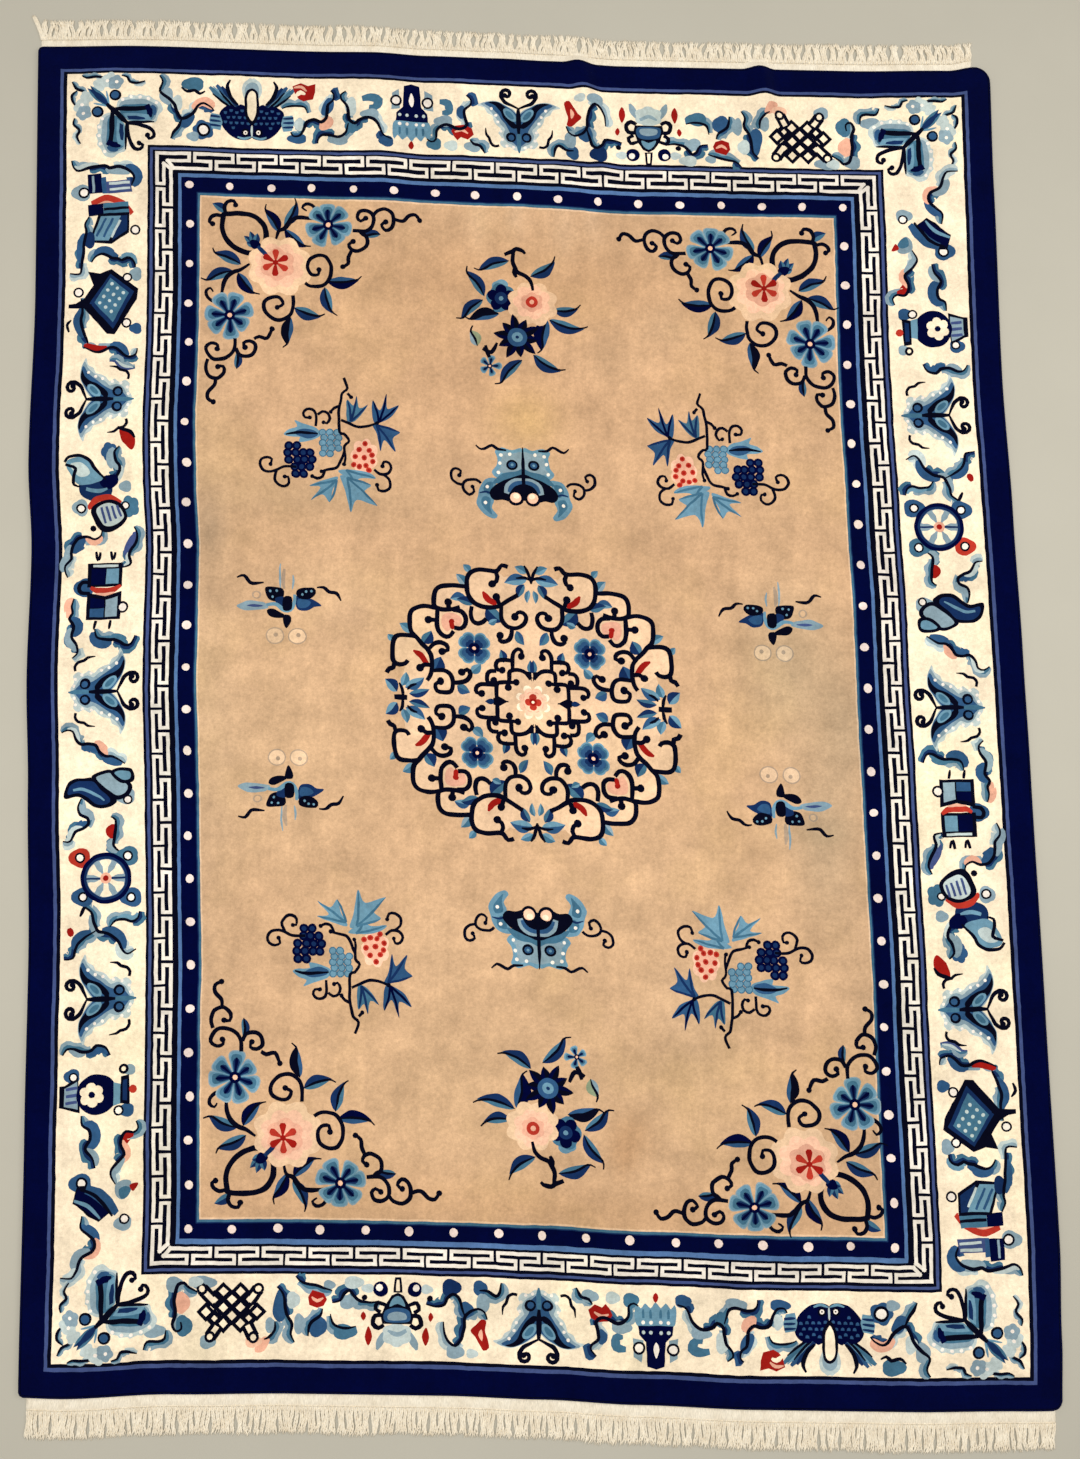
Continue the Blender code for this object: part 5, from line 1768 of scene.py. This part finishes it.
class Nodes:
    """A material's node tree, with short calls for the nodes that the wool and the cotton need."""

    def __init__(self, name):
        self.material = bpy.data.materials.new(name)
        self.material.use_nodes = True
        self.tree = self.material.node_tree
        self.shader = self.tree.nodes["Principled BSDF"]

    def add(self, kind, **settings):
        node = self.tree.nodes.new(kind)
        for key, value in settings.items():
            setattr(node, key, value)
        return node

    def link(self, source, target):
        self.tree.links.new(source, target)

    def place(self, scale=(1, 1, 1), turn=0.0):
        """The object's own coordinates, in metres, stretched and turned."""
        coordinates = self.add("ShaderNodeTexCoord")
        mapping = self.add("ShaderNodeMapping")
        mapping.inputs["Scale"].default_value = scale
        mapping.inputs["Rotation"].default_value = (0, 0, turn)
        self.link(coordinates.outputs["Object"], mapping.inputs["Vector"])
        return mapping.outputs["Vector"]

    def noise(self, scale, detail=2.0, rough=0.5, stretch=(1, 1, 1)):
        node = self.add("ShaderNodeTexNoise")
        node.inputs["Scale"].default_value = scale
        node.inputs["Detail"].default_value = detail
        node.inputs["Roughness"].default_value = rough
        self.link(self.place(stretch), node.inputs["Vector"])
        return node.outputs["Fac"]

    def range(self, value, low, high, to_low, to_high):
        node = self.add("ShaderNodeMapRange")
        self.link(value, node.inputs["Value"])
        node.inputs["From Min"].default_value = low
        node.inputs["From Max"].default_value = high
        node.inputs["To Min"].default_value = to_low
        node.inputs["To Max"].default_value = to_high
        return node.outputs["Result"]

    def sum(self, operation, first, second):
        node = self.add("ShaderNodeMath", operation=operation)
        for socket, value in zip(node.inputs, (first, second)):
            if isinstance(value, (int, float)):
                socket.default_value = value
            else:
                self.link(value, socket)
        return node.outputs["Value"]

    def mix(self, kind, share, first, second):
        node = self.add("ShaderNodeMix", data_type="RGBA", blend_type=kind)
        for socket, value in zip((node.inputs[0], node.inputs[6], node.inputs[7]), (share, first, second)):
            if isinstance(value, (int, float, tuple)):
                socket.default_value = value if isinstance(value, (int, float)) else (*value, 1.0)
            else:
                self.link(value, socket)
        return node.outputs[2]

    def bump(self, height, strength, distance):
        node = self.add("ShaderNodeBump")
        node.inputs["Strength"].default_value = strength
        node.inputs["Distance"].default_value = distance
        self.link(height, node.inputs["Height"])
        self.link(node.outputs["Normal"], self.shader.inputs["Normal"])


def wool_material():
    """Cut wool pile: its dyes, mottled by wear, light and the yarn's own shades."""
    wool = Nodes("wool")
    dye = wool.add("ShaderNodeVertexColor", layer_name="dye").outputs["Color"]
    patches = wool.range(wool.noise(8.0, 6.0, 0.74), 0.3, 0.7, 0.80, 1.18)
    rows = wool.range(wool.noise(9.0, 4.0, 0.65, (0.25, 1.0, 1.0)), 0.3, 0.7, 0.91, 1.09)
    brushed = wool.range(wool.noise(34.0, 3.0, 0.6, (1.0, 0.16, 1.0)), 0.3, 0.75, 0.94, 1.07)
    knots = wool.range(wool.noise(120.0, 4.0, 0.75), 0.25, 0.75, 0.80, 1.18)
    shade = wool.sum("MULTIPLY", wool.sum("MULTIPLY", patches, rows), wool.sum("MULTIPLY", brushed, knots))
    tone = wool.add("ShaderNodeCombineColor")
    for socket in tone.inputs[:3]:
        wool.link(shade, socket)
    colour = wool.mix("MULTIPLY", 1.0, dye, tone.outputs["Color"])
    sallow = wool.range(wool.noise(2.6, 3.0, 0.6), 0.50, 0.68, 0.0, 0.22)
    colour = wool.mix("MULTIPLY", sallow, colour, (0.93, 0.97, 0.72))
    wool.link(colour, wool.shader.inputs["Base Color"])
    wool.shader.inputs["Roughness"].default_value = 0.92
    wool.shader.inputs["Specular IOR Level"].default_value = 0.02
    wool.shader.inputs["Sheen Weight"].default_value = 0.02
    wool.shader.inputs["Sheen Roughness"].default_value = 0.5
    tufts = wool.sum("ADD", wool.noise(420.0, 2.0, 0.6), wool.noise(110.0, 2.0, 0.5))
    wool.bump(tufts, 0.35, 0.002)
    return wool.material


def plain_material(name, colour, roughness):
    plain = Nodes(name)
    speck = plain.range(plain.noise(3.0, 4.0, 0.6), 0.3, 0.7, 0.985, 1.015)
    tone = plain.add("ShaderNodeCombineColor")
    for socket in tone.inputs[:3]:
        plain.link(speck, socket)
    plain.link(plain.mix("MULTIPLY", 1.0, colour, tone.outputs["Color"]), plain.shader.inputs["Base Color"])
    plain.shader.inputs["Roughness"].default_value = roughness
    return plain.material


def add_floor():
    mesh = bpy.data.meshes.new("floor")
    mesh.from_pydata([(-9, -9, 0), (9, -9, 0), (9, 9, 0), (-9, 9, 0)], [], [(0, 1, 2, 3)])
    floor = bpy.data.objects.new("floor", mesh)
    mesh.materials.append(plain_material("floor_paint", (0.50, 0.47, 0.385), 0.85))
    bpy.context.scene.collection.objects.link(floor)


def add_light(name, place, size, power, colour=(1.0, 1.0, 1.0)):
    lamp = bpy.data.lights.new(name, "AREA")
    lamp.shape = "DISK"
    lamp.size = size
    lamp.energy = power
    lamp.color = colour
    item = bpy.data.objects.new(name, lamp)
    item.location = place
    item.rotation_euler = (-Vector(place)).to_track_quat("-Z", "Y").to_euler()
    bpy.context.scene.collection.objects.link(item)


def add_camera():
    camera = bpy.data.objects.new("camera", bpy.data.cameras.new("camera"))
    camera.data.lens = LENS
    camera.data.sensor_width = 36
    camera.location = CAMERA_PLACE
    camera.rotation_euler = [math.radians(value) for value in CAMERA_TURN]
    bpy.context.scene.collection.objects.link(camera)
    bpy.context.scene.camera = camera


def add_world():
    world = bpy.data.worlds.new("studio")
    world.use_nodes = True
    world.node_tree.nodes["Background"].inputs["Color"].default_value = (1.0, 0.98, 0.95, 1.0)
    world.node_tree.nodes["Background"].inputs["Strength"].default_value = 0.55
    bpy.context.scene.world = world


def main():
    pile = make_pile()
    wool = wool_material()
    for piece in pile:
        piece.data.materials.append(wool)
        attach(piece, "root")
        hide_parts("carpet")
    back = make_back()
    back.data.materials.append(back_material())
    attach(back, "root")
    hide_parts("carpet")
    fringes = make_fringes()
    add_floor()
    add_world()
    add_light("overhead", (-1.2, -0.1, 4.6), 3.0, 120)
    add_light("side", (3.4, 0.7, 3.2), 2.0, 60)
    add_camera()
    bpy.context.scene.view_settings.view_transform = "Standard"


main()
